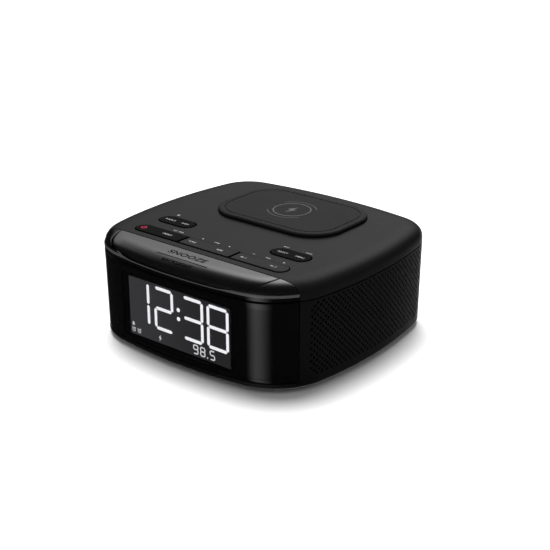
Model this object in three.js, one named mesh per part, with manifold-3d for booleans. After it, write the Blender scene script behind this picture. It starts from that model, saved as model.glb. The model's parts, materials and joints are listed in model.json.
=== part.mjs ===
// Clock radio with a wireless charging top. Millimetres, +Z up.
// The origin is on the surface it stands on, under the middle of the body; the display looks along -Y.
import * as THREE from "three";
import { mergeVertices } from "three/addons/utils/BufferGeometryUtils.js";
import Module from "manifold-3d";

const wasm = await Module();
wasm.setup();

// ---------- driving dimensions ----------
const HALF_W = 85; // half the width at the widest level
const HALF_D = 81.21; // half the depth at the widest level
const SIDE_MID = 1.13; // y of the crown of the side walls
const FRONT_BOW = 312.5; // plan radius of the bowed front
const SIDE_BOW = 270.27; // plan radius of the side walls
const REAR_BOW = 344.83; // plan radius of the rear wall
const FRONT_CORNER = 39.77; // plan radius of the front corners
const REAR_CORNER = 27.62; // plan radius of the rear corners
const DRAFT = 0.72 / 60; // the walls lean in downwards
const Z_SEAM = 55.66; // level of the widest outline, where cover and cabinet meet
const Z_SKIRT = 2.5; // lowest edge of the cabinet
const Z_SILL = 6.1; // the lens stands on this sill
const Z_DOME = 57.5; // the shoulder starts to round here
const Z_TOP = 65.9; // flat top of the cover
const SHOULDER = 14.5; // how far the shoulder reaches in
const SHOULDER_N = 2.6; // fullness of the shoulder
const Z_LIP = 58.75; // upper edge of the gloss band in front
const PART_Y = -58.87; // plane between the front module and the rest
const GAP = 0.3; // fit between neighbouring pieces
const WALL = 2.2; // casing wall
const SNOOZE_INSET = 1.4; // the snooze bar runs down behind the band's lip
const SNOOZE_TRAVEL = 0.8;
const KEY_Y = [-53.67, -42.67]; // front and rear edge of the row of three keys
const KEY_X = 58.5; // outer end of the row
const KEY_SPLIT = [-20.4, 19.6]; // where the row is divided
const PILL = { x: 44.7, y: -27.6, w: 27, d: 12 }; // the two oval keys behind the row
const KEY_TOP = 66.5;
const KEY_FOOT = 61.0;
const PAD = { y: 30, w: 92, d: 64, r: 22, top: 68.3 }; // charging pad
const SPEAKER = { x: 79.1, y: 7, z: 30 };
const COLUMNS = [[66, -47.5], [-66, -47.5], [64, 58], [-64, 58]]; // case screws
const FEET = [[48, -60], [-48, -60], [50, 63], [-50, 63]];
const BOARD_POSTS = [[46, 0], [-46, 0], [46, 60], [-46, 60]];

// ---------- solids ----------
const solid = (g) => {
  const flat = g.index ? g.toNonIndexed() : g;
  const p = new THREE.BufferGeometry().setAttribute("position", flat.getAttribute("position"));
  const m = mergeVertices(p, 1e-4);
  return new wasm.Manifold(new wasm.Mesh({ numProp: 3, vertProperties: new Float32Array(m.attributes.position.array), triVerts: new Uint32Array(m.index.array) }));
};
const geometry = (s) => {
  const m = s.getMesh(), n = m.numProp, v = new Float32Array((m.vertProperties.length / n) * 3);
  for (let i = 0; i < v.length / 3; i++) v.set(m.vertProperties.subarray(i * n, i * n + 3), i * 3);
  const g = new THREE.BufferGeometry().setAttribute("position", new THREE.BufferAttribute(v, 3)).setIndex(new THREE.BufferAttribute(new Uint32Array(m.triVerts), 1));
  g.computeVertexNormals();
  return g;
};
const join = (a, ...more) => more.reduce((s, b) => s.add(b), a);
const cut = (a, ...more) => more.reduce((s, b) => s.subtract(b), a);
const meet = (a, b) => a.intersect(b);

const box = (x0, x1, y0, y1, z0, z1) => solid(new THREE.BoxGeometry(x1 - x0, y1 - y0, z1 - z0).translate((x0 + x1) / 2, (y0 + y1) / 2, (z0 + z1) / 2));
// Upright round post or hole.
const post = (x, y, r, z0, z1, sides = 16) => solid(new THREE.CylinderGeometry(r, r, z1 - z0, sides).rotateX(Math.PI / 2).translate(x, y, (z0 + z1) / 2));
// Round bar along Y.
const barY = (x, z, r, y0, y1, sides = 16) => solid(new THREE.CylinderGeometry(r, r, y1 - y0, sides).translate(x, (y0 + y1) / 2, z));
const roundedRect = (w, d, r) => {
  const s = new THREE.Shape(), x = w / 2, y = d / 2;
  s.moveTo(-x + r, -y).lineTo(x - r, -y).absarc(x - r, -y + r, r, -Math.PI / 2, 0, false);
  s.lineTo(x, y - r).absarc(x - r, y - r, r, 0, Math.PI / 2, false);
  s.lineTo(-x + r, y).absarc(-x + r, y - r, r, Math.PI / 2, Math.PI, false);
  s.lineTo(-x, -y + r).absarc(-x + r, -y + r, r, Math.PI, Math.PI * 1.5, false);
  return s;
};
const prism = (shape, z0, z1, curveSegments = 6) => solid(new THREE.ExtrudeGeometry(shape, { depth: z1 - z0, bevelEnabled: false, curveSegments }).translate(0, 0, z0));
const slab = (x, y, w, d, r, z0, z1, seg = 6) => prism(roundedRect(w, d, r), z0, z1, seg).translate([x, y, 0]);
// A turned piece about Z: profile of [radius, z] from axis to axis.
const turned = (profile, sides = 24) => solid(new THREE.LatheGeometry(profile.map(([r, z]) => new THREE.Vector2(r, z)), sides).rotateX(Math.PI / 2));
// A tube of round section along a smooth curve.
const lead = (points, r, steps, sides = 8) => {
  const s = new THREE.Shape();
  for (let i = 0; i < sides; i++) {
    const a = (i / sides) * 2 * Math.PI;
    if (i) s.lineTo(r * Math.cos(a), r * Math.sin(a)); else s.moveTo(r * Math.cos(a), r * Math.sin(a));
  }
  return solid(new THREE.ExtrudeGeometry(s, { steps, extrudePath: new THREE.CatmullRomCurve3(points.map((p) => new THREE.Vector3(...p)), false, "centripetal") }));
};

// ---------- plan outline of the body ----------
const crossing = (c1, r1, c2, r2) => {
  const d = c2.distanceTo(c1), a = (r1 * r1 - r2 * r2 + d * d) / (2 * d), h = Math.sqrt(Math.max(r1 * r1 - a * a, 0));
  const u = c2.clone().sub(c1).divideScalar(d), m = c1.clone().addScaledVector(u, a);
  return [1, -1].map((s) => new THREE.Vector2(m.x - s * h * u.y, m.y + s * h * u.x));
};
const STEPS = [5, 7, 7, 6, 5]; // segments of the front, front corner, side, rear corner and rear on the right half
// Counter-clockwise outline, moved in by inset: five tangent arcs and their mirror image.
function outline(inset) {
  const a = HALF_W - inset, b = HALF_D - inset, rf = Math.max(FRONT_CORNER - inset, 0.5), rr = Math.max(REAR_CORNER - inset, 0.5);
  const RF = FRONT_BOW - inset, RS = SIDE_BOW - inset, RR = REAR_BOW - inset;
  const F = new THREE.Vector2(0, -b + RF), S = new THREE.Vector2(a - RS, SIDE_MID), R = new THREE.Vector2(0, b - RR);
  const c1 = crossing(F, RF - rf, S, RS - rf).sort((p, q) => q.x - q.y - (p.x - p.y))[0];
  const c2 = crossing(S, RS - rr, R, RR - rr).sort((p, q) => q.x + q.y - (p.x + p.y))[0];
  const at = (from, to) => Math.atan2(to.y - from.y, to.x - from.x);
  const t1 = at(F, c1), t2 = at(S, c1), t3 = at(S, c2), t4 = at(R, c2);
  const arcs = [[F, RF, -Math.PI / 2, t1], [c1, rf, t1, t2], [S, RS, t2, t3], [c2, rr, t3, t4], [R, RR, t4, Math.PI / 2]];
  const right = [];
  arcs.forEach(([c, r, a0, a1], k) => {
    for (let i = 0; i < STEPS[k]; i++) {
      const t = a0 + ((a1 - a0) * i) / STEPS[k];
      right.push([c.x + r * Math.cos(t), c.y + r * Math.sin(t)]);
    }
  });
  right.push([0, b]);
  return [...right, ...right.slice(1, -1).reverse().map(([x, y]) => [-x, y])];
}
// The solid through outlines at rising levels: [z, inset] pairs.
function stack(levels) {
  const rings = levels.map(([z, inset]) => outline(inset).map(([x, y]) => [x, y, z]));
  const n = rings[0].length, top = (rings.length - 1) * n, pos = rings.flat(2), idx = [];
  for (let k = 0; k < rings.length - 1; k++)
    for (let i = 0; i < n; i++) {
      const p = k * n + i, q = k * n + ((i + 1) % n);
      idx.push(p, q, q + n, p, q + n, p + n);
    }
  pos.push(0, 0, levels[0][0], 0, 0, levels[levels.length - 1][0]);
  const c0 = rings.length * n, c1 = c0 + 1;
  for (let i = 0; i < n; i++) idx.push(c0, (i + 1) % n, i, c1, top + i, top + ((i + 1) % n));
  return solid(new THREE.BufferGeometry().setAttribute("position", new THREE.BufferAttribute(new Float32Array(pos), 3)).setIndex(idx));
}
const lean = (z) => Math.max(0, DRAFT * (Z_SEAM - z));
// Levels of the shoulder: base inset, reach and height offset for the inner faces.
const shoulder = (base, reach, dz = 0, steps = [0.34, 0.6, 0.8, 0.93]) => [
  ...steps.map((t) => [Z_DOME + (Z_TOP - Z_DOME) * t + dz, base + reach * (1 - Math.pow(1 - Math.pow(t, SHOULDER_N), 1 / SHOULDER_N))]),
  [Z_TOP + dz, base + reach],
];
const FAR = 200;
const inFront = box(-FAR, FAR, -FAR, PART_Y - GAP / 2, -FAR, FAR);
const behind = box(-FAR, FAR, PART_Y + GAP / 2, FAR, -FAR, FAR);

// ---------- materials ----------
const paint = (hex, roughness, metalness = 0) => new THREE.MeshStandardMaterial({ color: hex, roughness, metalness });
const MAT = {
  soft_black: paint(0x2b2b2d, 0.55),
  cabinet_black: paint(0x1d1d1f, 0.5),
  piano_black: paint(0x050506, 0.08),
  satin_grey: paint(0x4a4a4c, 0.38, 0.3),
  key_black: paint(0x262628, 0.5),
  rubber: paint(0x1a1a1a, 0.9),
  inner_black: paint(0x161616, 0.7),
  lcd: paint(0x15161a, 0.15),
  light_guide: paint(0xe6e8ea, 0.4),
  board: paint(0x14532d, 0.5),
  steel: paint(0xb8babd, 0.3, 1),
  copper: paint(0xb87333, 0.35, 1),
  ferrite: paint(0x3a3a3c, 0.8),
  aluminium: paint(0xa8abb0, 0.35, 1),
  cone: paint(0x202022, 0.85),
  magnet: paint(0x55565a, 0.4, 0.8),
  cloth: paint(0x0b0b0c, 0.95),
  wire: paint(0x8a1f1f, 0.5),
  ribbon: paint(0xd8d4c8, 0.6),
};

const radio = new THREE.Group();
const add = (name, s, mat, parent = radio, at = [0, 0, 0]) => {
  const m = new THREE.Mesh(geometry(s), MAT[mat]);
  m.name = name;
  m.position.set(...at);
  parent.add(m);
  return m;
};

// ---------- cabinet: side and rear walls, sill under the lens, screw columns ----------
{
  const outer = stack([[Z_SKIRT, 1.7], [3.1, 1.05], [4.2, lean(4.2)], [Z_SEAM - 0.15, 0]]);
  const inner = stack([[Z_SKIRT - 1, 2.9], [6, 2.9], [Z_SEAM + 1, 2.3]]);
  const opening = box(-FAR, FAR, -FAR, PART_Y + GAP / 2, Z_SILL, FAR);
  let s = cut(outer, inner, opening);
  const inside = stack([[7, 1.4], [Z_SEAM - 2, 1.0]]);
  for (const [x, y] of COLUMNS) {
    const out = Math.sign(x);
    const rib = meet(box(Math.min(x, x + out * 22), Math.max(x, x + out * 22), y - 1, y + 1, 7.8, 50), inside);
    const rib2 = meet(y > 0 ? box(x - 1, x + 1, y, y + 26, 7.8, 50) : box(x - out - 1, x - out + 1, y, y + 0.5, 7.8, 50), inside);
    s = join(s, post(x, y, 3.6, 7.8, 50, 10), rib, rib2);
  }
  for (const [x, y] of COLUMNS) s = cut(s, post(x, y, 1.8, 0, FAR, 8));
  // Openings in the rear wall for the sockets and the aerial grommet.
  s = cut(s, box(-34.8, -24.2, 70, FAR, 13.7, 25.3), box(-8.6, 5.6, 70, FAR, 14.3, 21.1), barY(42, 18, 3.6, 70, FAR, 16));
  add("cabinet", s, "cabinet_black");
}

// ---------- base plate ----------
{
  let s = stack([[3.1, 3.3], [5.3, 3.3]]);
  for (const [x, y] of COLUMNS) s = join(s, post(x, y, 4.6, 5, 7.5, 12));
  for (const [x, y] of BOARD_POSTS) s = join(s, post(x, y, 2.8, 5, 11.6, 8));
  for (const [x, y] of COLUMNS) s = cut(s, post(x, y, 1.8, 0, 20, 8), post(x, y, 3.3, 0, 5.6, 12));
  for (const [x, y] of BOARD_POSTS) s = cut(s, post(x, y, 1.3, 6.4, 20, 6));
  for (let i = -3; i <= 3; i++) s = cut(s, box(i * 9 - 1.5, i * 9 + 1.5, 19, 49, 0, 20)); // vents
  add("base_plate", s, "inner_black");
}

// ---------- top cover ----------
const keyShape = (x0, x1, grow, roundLeft, roundRight) => {
  const y0 = KEY_Y[0] - grow, y1 = KEY_Y[1] + grow, r = (y1 - y0) / 2, c = (y0 + y1) / 2, s = new THREE.Shape(), a = x0 - grow, b = x1 + grow;
  if (roundLeft) s.moveTo(a + r, y0); else s.moveTo(a, y0);
  if (roundRight) s.lineTo(b - r, y0).absarc(b - r, c, r, -Math.PI / 2, Math.PI / 2, false); else s.lineTo(b, y0).lineTo(b, y1);
  if (roundLeft) s.lineTo(a + r, y1).absarc(a + r, c, r, Math.PI / 2, Math.PI * 1.5, false); else s.lineTo(a, y1).lineTo(a, y0);
  return s;
};
{
  const outer = stack([[Z_SEAM + 0.15, 0], [Z_DOME, 0], ...shoulder(0, SHOULDER)]);
  const inner = stack([[Z_SEAM - 1, WALL], [Z_DOME - 0.4, WALL], ...shoulder(WALL, SHOULDER, -WALL)]);
  let s = meet(cut(outer, inner), behind);
  const skin = stack([[Z_SEAM + 0.15, 1], ...shoulder(1, SHOULDER, -1)]);
  s = join(s, meet(meet(skin, behind), box(-FAR, FAR, -FAR, PART_Y + 2, Z_SEAM + 0.15, FAR))); // front web
  s = cut(s, box(-32.6, 32.6, PART_Y - 1, PART_Y + 3, 50, 59)); // the key board's tongue passes under the web
  for (const [x, y] of COLUMNS) s = join(s, post(x, y, 3.6, 50.3, Z_TOP - 1, 10));
  for (const [x, y] of COLUMNS) s = cut(s, post(x, y, 1.7, 40, 60.5, 8));
  // Hangers for the coil tray.
  for (const x of [-34, 34]) s = cut(join(s, post(x, PAD.y, 2.8, 61, Z_TOP - 1, 12)), post(x, PAD.y, 1.3, 50, 64.2, 8));
  s = cut(s, prism(keyShape(-KEY_X, KEY_X, 0.4, true, true), 50, FAR, 5));
  for (const x of [-PILL.x, PILL.x]) s = cut(s, slab(x, PILL.y, PILL.w + 0.8, PILL.d + 0.8, (PILL.d + 0.8) / 2 - 0.01, 50, FAR, 4));
  s = cut(s, slab(0, PAD.y, PAD.w + 0.6, PAD.d + 0.6, PAD.r + 0.3, Z_TOP - 0.8, FAR, 5)); // seat of the pad
  add("top_cover", s, "soft_black");
}

// ---------- front module ----------
{
  const outer = stack([[Z_SILL + GAP, lean(Z_SILL)], [Z_SEAM - 0.3, 0]]);
  const inner = stack([[0, 2 + lean(0)], [Z_SEAM, 2], [70, 2]]);
  add("front_lens", meet(cut(outer, inner), inFront), "piano_black");

  const frameOuter = stack([[6.6, 2.4 + lean(6.6)], [53.4, 2.45]]);
  const frameInner = stack([[0, 4.6], [FAR, 4.6]]);
  let f = meet(cut(frameOuter, frameInner), box(-FAR, FAR, -FAR, PART_Y - 0.8, -FAR, FAR));
  for (const x of [-46.5, 46.5]) for (const z of [12.5, 46.5]) f = join(f, barY(x, z, 2.6, -73.3, -68.4, 8));
  f = cut(f, box(-42.5, 42.5, -FAR, -60, 9.3, 49.3));
  for (const x of [-46.5, 46.5]) f = cut(f, barY(x, 12.5, 1.3, -72.4, -60, 6));
  add("front_frame", f, "inner_black");
}

// Plan of the snooze bar: rounded ends, front edge behind the lip.
const barHalf = [[61.3, PART_Y - 0.3], [61.1, -61], [60.3, -64], [58.9, -68], [57.2, -71.2], [54.6, -74], [51.0, -76.0]];
const barPlan = (grow) => {
  const s = new THREE.Shape(), R = FRONT_BOW - SNOOZE_INSET + grow, cy = -HALF_D + FRONT_BOW, half = barHalf.map(([x, y], i) => [x + grow, i ? y - grow * (i / 6) : y + grow]).filter((p, i) => grow >= 0 || i !== 1);
  const pts = half.map(([x, y]) => [-x, y]);
  for (let x = -46; x <= 46.01; x += 9.2) pts.push([x, cy - Math.sqrt(R * R - x * x)]);
  pts.push(...half.slice().reverse());
  pts.forEach(([x, y], i) => (i ? s.lineTo(x, y) : s.moveTo(x, y)));
  return s;
};
{
  // Gloss band: lip, ledge that the frame carries, and the crescents beside the snooze bar.
  const outer = stack([[Z_SEAM + 0.3, 0], [Z_DOME, 0], ...shoulder(0, SHOULDER)]);
  const hollow = stack([[56.7, 2], [Z_DOME, 2], ...shoulder(2, SHOULDER, -2)]);
  const ledge = cut(stack([[54, 2.75], [56.7, 2.75]]), stack([[50, 7], [60, 7]]));
  let s = join(cut(outer, hollow, cut(stack([[50, 6.5], [56.75, 6.5]]))), ledge);
  s = meet(s, inFront);
  s = cut(s, prism(barPlan(GAP), 56.7, FAR));
  const z = [[62, 75], [61, 66.5], [59.3, 65.2], [57.6, 64.2], [55.5, 63.2], [52.2, 62.1], [46.4, 60.7], [40, 59.5], [34, Z_LIP]];
  const over = new THREE.Shape();
  over.moveTo(-z[0][0], z[0][1]);
  z.slice(1).forEach(([x, h]) => over.lineTo(-x, h));
  z.slice().reverse().forEach(([x, h]) => over.lineTo(x, h));
  s = cut(s, solid(new THREE.ExtrudeGeometry(over, { depth: 40, bevelEnabled: false }).rotateX(Math.PI / 2).translate(0, -59, 0)));
  add("front_top_trim", s, "piano_black");

  const bar = stack([[57.6, SNOOZE_INSET], [Z_LIP, SNOOZE_INSET], ...shoulder(SNOOZE_INSET, SHOULDER - SNOOZE_INSET)]);
  const barIn = stack([[50, SNOOZE_INSET + 1.8], [Z_LIP, SNOOZE_INSET + 1.8], ...shoulder(SNOOZE_INSET + 1.8, SHOULDER - SNOOZE_INSET, -1.8)]);
  let b = meet(bar, prism(barPlan(0), 50, FAR));
  b = cut(b, meet(barIn, prism(barPlan(-1.8), 40, FAR)));
  b = cut(b, box(-32.6, 32.6, -62.5, PART_Y + 1, 50, 59.9)); // clears the key board's tongue
  for (const x of [-24, 24]) b = join(b, post(x, -65.5, 1.8, 60.1, Z_TOP - 1, 8));
  add("snooze_bar", b, "satin_grey");
}

// ---------- keys ----------
const KEYS = [
  ["key_power_preset", -KEY_X, KEY_SPLIT[0] - 0.25, true, false],
  ["key_tuning", KEY_SPLIT[0] + 0.25, KEY_SPLIT[1] - 0.25, false, false],
  ["key_alarm", KEY_SPLIT[1] + 0.25, KEY_X, false, true],
];
for (const [name, x0, x1, l, r] of KEYS) {
  const c = (x0 + x1) / 2;
  const top = prism(keyShape(x0, x1, 0, l, r), KEY_FOOT, KEY_TOP, 7);
  const under = cut(box(x0 + 6, x1 - 6, KEY_Y[0] + 2, KEY_Y[1] - 2, KEY_FOOT - 1, KEY_TOP - 1.8), box(c - 1, c + 1, -FAR, FAR, 0, FAR));
  add(name, cut(top, under), "key_black");
}
for (const [name, x] of [["key_source_sleep", -PILL.x], ["key_select_menu", PILL.x]]) {
  const top = slab(0, 0, PILL.w, PILL.d, PILL.d / 2 - 0.01, KEY_FOOT, KEY_TOP, 5);
  const under = cut(box(-8, 8, -4, 4, KEY_FOOT - 1, KEY_TOP - 1.8), box(-1, 1, -20, 20, 0, FAR));
  add(name, cut(top, under), "key_black", radio, [x, PILL.y, 0]);
}

// ---------- key board with its push switches ----------
{
  let s = join(box(-59, 59, -56.2, -20, 56.8, 58.4), box(-32, 32, -71.5, -56, 56.8, 58.4));
  const spots = [];
  for (const [, x0, x1] of KEYS) for (const k of [-1, 1]) spots.push([(x0 + x1) / 2 + k * 13, -48.2]);
  for (const x of [-PILL.x, PILL.x]) for (const k of [-1, 1]) spots.push([x + k * 9, PILL.y]);
  spots.push([-24, -65.5], [24, -65.5]);
  for (const [x, y] of spots) {
    s = join(s, box(x - 2.2, x + 2.2, y - 2.2, y + 2.2, 58.3, 59.0), post(x, y, 1.2, 58.9, y < -60 ? 59.1 : 60.2, 6));
  }
  // Connector underneath.
  s = join(s, box(-12, 12, -27, -22, 54.2, 56.9));
  add("key_board", s, "board");
}

// ---------- charging pad and what is under it ----------
add("charging_pad", join(slab(0, PAD.y, PAD.w, PAD.d, PAD.r, Z_TOP - 0.5, PAD.top - 0.6, 6), slab(0, PAD.y, PAD.w - 1.6, PAD.d - 1.6, PAD.r - 0.8, PAD.top - 0.7, PAD.top, 6)), "rubber");
{
  let t = join(box(-28.5, 28.5, PAD.y - 28.5, PAD.y + 28.5, 59.2, 60.3), box(-38, 38, PAD.y - 4, PAD.y + 4, 59.2, 60.3));
  t = join(t, cut(box(-28.5, 28.5, PAD.y - 28.5, PAD.y + 28.5, 59.2, 62), box(-27.3, 27.3, PAD.y - 27.3, PAD.y + 27.3, 50, FAR)));
  for (const x of [-34, 34]) t = cut(t, post(x, PAD.y, 1.6, 0, FAR, 10));
  add("coil_tray", t, "inner_black");
  add("coil_ferrite", slab(0, PAD.y, 53, 53, 3, 60.6, 61.6, 2), "ferrite");
  const ring = cut(post(0, PAD.y, 24, 61.9, 63.3, 28), post(0, PAD.y, 10.5, 0, FAR, 18));
  add("charging_coil", ring, "copper");
  let q = box(-24, 24, PAD.y - 17, PAD.y + 17, 55.6, 57.0);
  q = join(q, box(-20, -8, PAD.y - 12, PAD.y, 52.8, 55.7), box(4, 12, PAD.y + 2, PAD.y + 9, 53.8, 55.7), box(-6, 6, PAD.y + 11, PAD.y + 16, 51.6, 55.7));
  for (const [x, y] of [[-21, -14], [21, -14], [-21, 14], [21, 14]]) q = join(q, post(x, PAD.y + y, 1.6, 56.9, 58.9, 6)); // spacers up to the tray
  add("charging_board", q, "board");
}

// ---------- display ----------
add("display_panel", box(-42, 42, -75.35, -72.6, 9.8, 48.8), "lcd");
add("display_backlight", cut(box(-41.5, 41.5, -72.25, -69.5, 10.2, 48.4), box(-38, 38, -71.2, -60, 13, 46)), "light_guide");
{
  let s = box(-50, 50, -68.1, -66.5, 8.4, 50.4);
  for (const x of [-46.5, 46.5]) s = cut(s, barY(x, 12.5, 1.6, -80, -50, 10));
  s = join(s, box(-12, 12, -66.6, -62.6, 10, 14.5), box(20, 34, -66.6, -64.6, 26, 40), box(-30, -26, -69.2, -68, 20, 40));
  add("display_board", s, "board");
}

// ---------- main board and what stands on it ----------
{
  let s = box(-52, 52, -8, 66, 11.9, 13.5);
  for (const [x, y] of BOARD_POSTS) s = cut(s, post(x, y, 1.6, 0, 40, 10));
  s = join(s, box(-14, 14, -6.5, -1.5, 13.4, 18.5), box(-4, 12, 24, 40, 13.4, 15.4), box(41, 50, 14, 22, 13.4, 19), box(-50, -41, 14, 22, 13.4, 19));
  for (const [x, y, r, h] of [[-20, 50, 4, 16], [-10, 50, 4, 16], [30, 46, 3, 10], [22, 46, 3, 10]]) s = join(s, post(x, y, r, 13.4, 13.4 + h, 8));
  add("main_board", s, "board");
  let t = cut(slab(31, 32, 26, 18, 1, 13.8, 18.2, 2), slab(31, 32, 25, 17, 0.6, 13, 17.7, 2));
  add("tuner_shield", t, "steel");
  let h = box(-40, -10, 28, 31, 13.8, 30);
  for (let i = 0; i < 5; i++) h = join(h, box(-40 + i * 7, -38 + i * 7, 30, 38, 13.8, 30));
  add("amplifier_heatsink", h, "aluminium");
  let c = cut(post(-28, 10, 11.2, 13.8, 17.6, 16), post(-28, 10, 10.2, 14.8, 30, 16));
  add("cell_holder", c, "inner_black");
  add("clock_backup_cell", turned([[0, 15.1], [9.6, 15.1], [9.9, 15.4], [9.9, 17.6], [8.2, 18.1], [0, 18.1]], 16).translate([-28, 10, 0]), "steel");
}

// ---------- sockets on the rear wall ----------
{
  let j = box(-34.5, -24.5, 67, 80.1, 14, 25);
  j = cut(j, barY(-29.5, 19.6, 3.1, 70, 90, 20));
  j = join(j, barY(-29.5, 19.6, 1, 69, 78.6, 10));
  add("dc_jack", j, "inner_black");
  let u = box(-8.3, 5.3, 66.8, 80.6, 14.6, 20.8);
  u = cut(u, box(-7.8, 4.8, 69, 90, 15.1, 20.3));
  u = join(u, box(-6.9, 3.9, 68, 79, 18.1, 19.9));
  add("usb_port", u, "steel");
  const g = cut(join(barY(42, 18, 3.3, 74.3, 79.2, 14), barY(42, 18, 5.2, 72.2, 74.5, 14)), barY(42, 18, 0.9, 77, 90, 8));
  add("aerial_grommet", g, "rubber");
}

// ---------- loudspeakers: one assembly a side, built looking along +X ----------
const aboutX = (s) => s.rotate([0, 90, 0]); // a turned piece's +Z becomes +X
for (const [side, turn] of [["right", 0], ["left", Math.PI]]) {
  const g = new THREE.Group();
  g.position.set(SPEAKER.x * (turn ? -1 : 1), SPEAKER.y, SPEAKER.z);
  g.rotation.z = turn;
  radio.add(g);
  const flange = prism(roundedRect(45, 45, 5), -1.6, 0, 3);
  const funnel = turned([[0, -11.6], [13.4, -11.6], [20.8, -1.5], [20.8, 1], [0, 1]], 20);
  const bore = turned([[0, -10.4], [12.6, -10.4], [19.6, -1.4], [19.6, 2], [0, 2]], 20);
  add("speaker_frame_" + side, aboutX(cut(join(flange, meet(funnel, box(-40, 40, -40, 40, -20, 0))), bore)), "steel", g);
  add("speaker_cone_" + side, aboutX(turned([[0, -7.6], [7.2, -7.6], [16.2, -2.4], [17.5, -1.5], [18.7, -1.8], [18.7, -1.1], [17.5, -0.5], [16.0, -1.4], [7, -6.4], [4.4, -4.6], [0, -3.8]], 20)), "cone", g);
  add("speaker_magnet_" + side, aboutX(turned([[0, -22], [13.6, -22], [14.2, -21.4], [14.2, -12.2], [0, -12.2]], 18)), "magnet", g);
}
// Acoustic cloth behind the perforated walls.
{
  const sheet = cut(stack([[9, 3.3], [53, 3.05]]), stack([[0, 3.75], [FAR, 3.75]]));
  add("grille_cloth_right", meet(sheet, box(40, FAR, -42, 50, 0, FAR)), "cloth");
  add("grille_cloth_left", meet(sheet, box(-FAR, -40, -42, 50, 0, FAR)), "cloth");
}

// ---------- leads inside ----------
for (const [side, k] of [["right", 1], ["left", -1]])
  add("speaker_lead_" + side, lead([[69.4 * k, 22.1, 24.4], [64 * k, 24, 22.5], [56 * k, 23.5, 22], [49.5 * k, 20.5, 24], [46 * k, 18.4, 23], [45.4 * k, 18, 19.6]], 0.8, 14, 6), "wire");
add("coil_lead", lead([[0, PAD.y + 13.5, 51.2], [0, PAD.y + 13.6, 46], [3, PAD.y + 11, 38], [5, PAD.y + 7, 28], [4, PAD.y + 5, 20], [4, PAD.y + 5, 15.8]], 0.8, 14, 6), "wire");
// Flat cables: profile in Y-Z, drawn out along X.
const strip = (pts, t, x0, x1) => {
  const s = new THREE.Shape(), n = pts.length, off = pts.map(([y, z], i) => {
    const a = pts[Math.max(i - 1, 0)], b = pts[Math.min(i + 1, n - 1)], l = Math.hypot(b[0] - a[0], b[1] - a[1]);
    return [y - ((b[1] - a[1]) / l) * t, z + ((b[0] - a[0]) / l) * t];
  });
  [...pts, ...off.reverse()].forEach(([y, z], i) => (i ? s.lineTo(y, z) : s.moveTo(y, z)));
  return solid(new THREE.ExtrudeGeometry(s, { depth: x1 - x0, bevelEnabled: false }).rotateY(Math.PI / 2).rotateX(Math.PI / 2).translate(x0, 0, 0));
};
add("display_ribbon", strip([[-62.2, 12.2], [-56, 12.4], [-48, 9.6], [-36, 8.6], [-24, 9.6], [-14, 14.2], [-6.9, 16]], 0.4, -9, 9), "ribbon");
add("key_ribbon", strip([[-24.6, 53.8], [-24.8, 46], [-20, 36], [-10, 28], [-5, 22], [-4, 18.9]], 0.4, -8, 8), "ribbon");

// ---------- feet and screws ----------
FEET.forEach(([x, y], i) => add("foot_" + (i + 1), turned([[0, 0], [6.4, 0], [7, 0.6], [7, 2.8], [0, 2.8]], 16), "rubber", radio, [x, y, 0]));
// A screw with its head below, standing along +Z; the case screws have a cross recess.
const screw = (head, hh, shank, length) => turned([[0, 0], [head, 0], [head, hh], [shank, hh], [shank, length], [0, length]], 8);
const recess = join(box(-0.4, 0.4, -1.7, 1.7, -1, 0.9), box(-1.7, 1.7, -0.4, 0.4, -1, 0.9));
COLUMNS.forEach(([x, y], i) => add("case_screw_" + (i + 1), cut(screw(2.8, 1.8, 1.4, 55), recess), "steel", radio, [x, y, 3.5]));
BOARD_POSTS.forEach(([x, y], i) => add("board_screw_" + (i + 1), screw(2.3, 1.4, 1.0, 6.6).rotate([180, 0, 0]), "steel", radio, [x, y, 15.2]));
[-46.5, 46.5].forEach((x, i) => add("display_screw_" + (i + 1), screw(2.3, 1.4, 1.0, 6.6).rotate([90, 0, 0]), "steel", radio, [x, -64.8, 12.5]));
[-34, 34].forEach((x, i) => add("tray_screw_" + (i + 1), screw(2.3, 1.4, 1.0, 6.4), "steel", radio, [x, PAD.y, 57.5]));

export default radio;
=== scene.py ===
# Looks of the clock radio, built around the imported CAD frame. Lengths below are millimetres unless a name says otherwise.
import json
import math

import bmesh
import bpy
import numpy as np
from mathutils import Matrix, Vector


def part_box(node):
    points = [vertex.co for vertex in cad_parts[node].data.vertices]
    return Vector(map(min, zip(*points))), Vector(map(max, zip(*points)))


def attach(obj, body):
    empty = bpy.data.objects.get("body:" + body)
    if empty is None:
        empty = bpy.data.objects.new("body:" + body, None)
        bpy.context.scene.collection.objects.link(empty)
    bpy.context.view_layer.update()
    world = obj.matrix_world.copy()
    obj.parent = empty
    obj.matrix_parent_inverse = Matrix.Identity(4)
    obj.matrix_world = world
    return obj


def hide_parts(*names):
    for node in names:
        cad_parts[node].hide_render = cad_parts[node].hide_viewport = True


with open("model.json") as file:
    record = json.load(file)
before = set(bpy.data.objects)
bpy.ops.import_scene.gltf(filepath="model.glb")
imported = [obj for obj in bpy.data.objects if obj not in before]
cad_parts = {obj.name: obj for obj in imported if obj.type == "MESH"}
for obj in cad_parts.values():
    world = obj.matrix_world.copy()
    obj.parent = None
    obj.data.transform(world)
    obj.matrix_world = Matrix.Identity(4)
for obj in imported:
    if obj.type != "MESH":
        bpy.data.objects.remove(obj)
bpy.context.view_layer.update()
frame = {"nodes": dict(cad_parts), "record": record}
scene = bpy.context.scene
MM = 0.001

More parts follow.
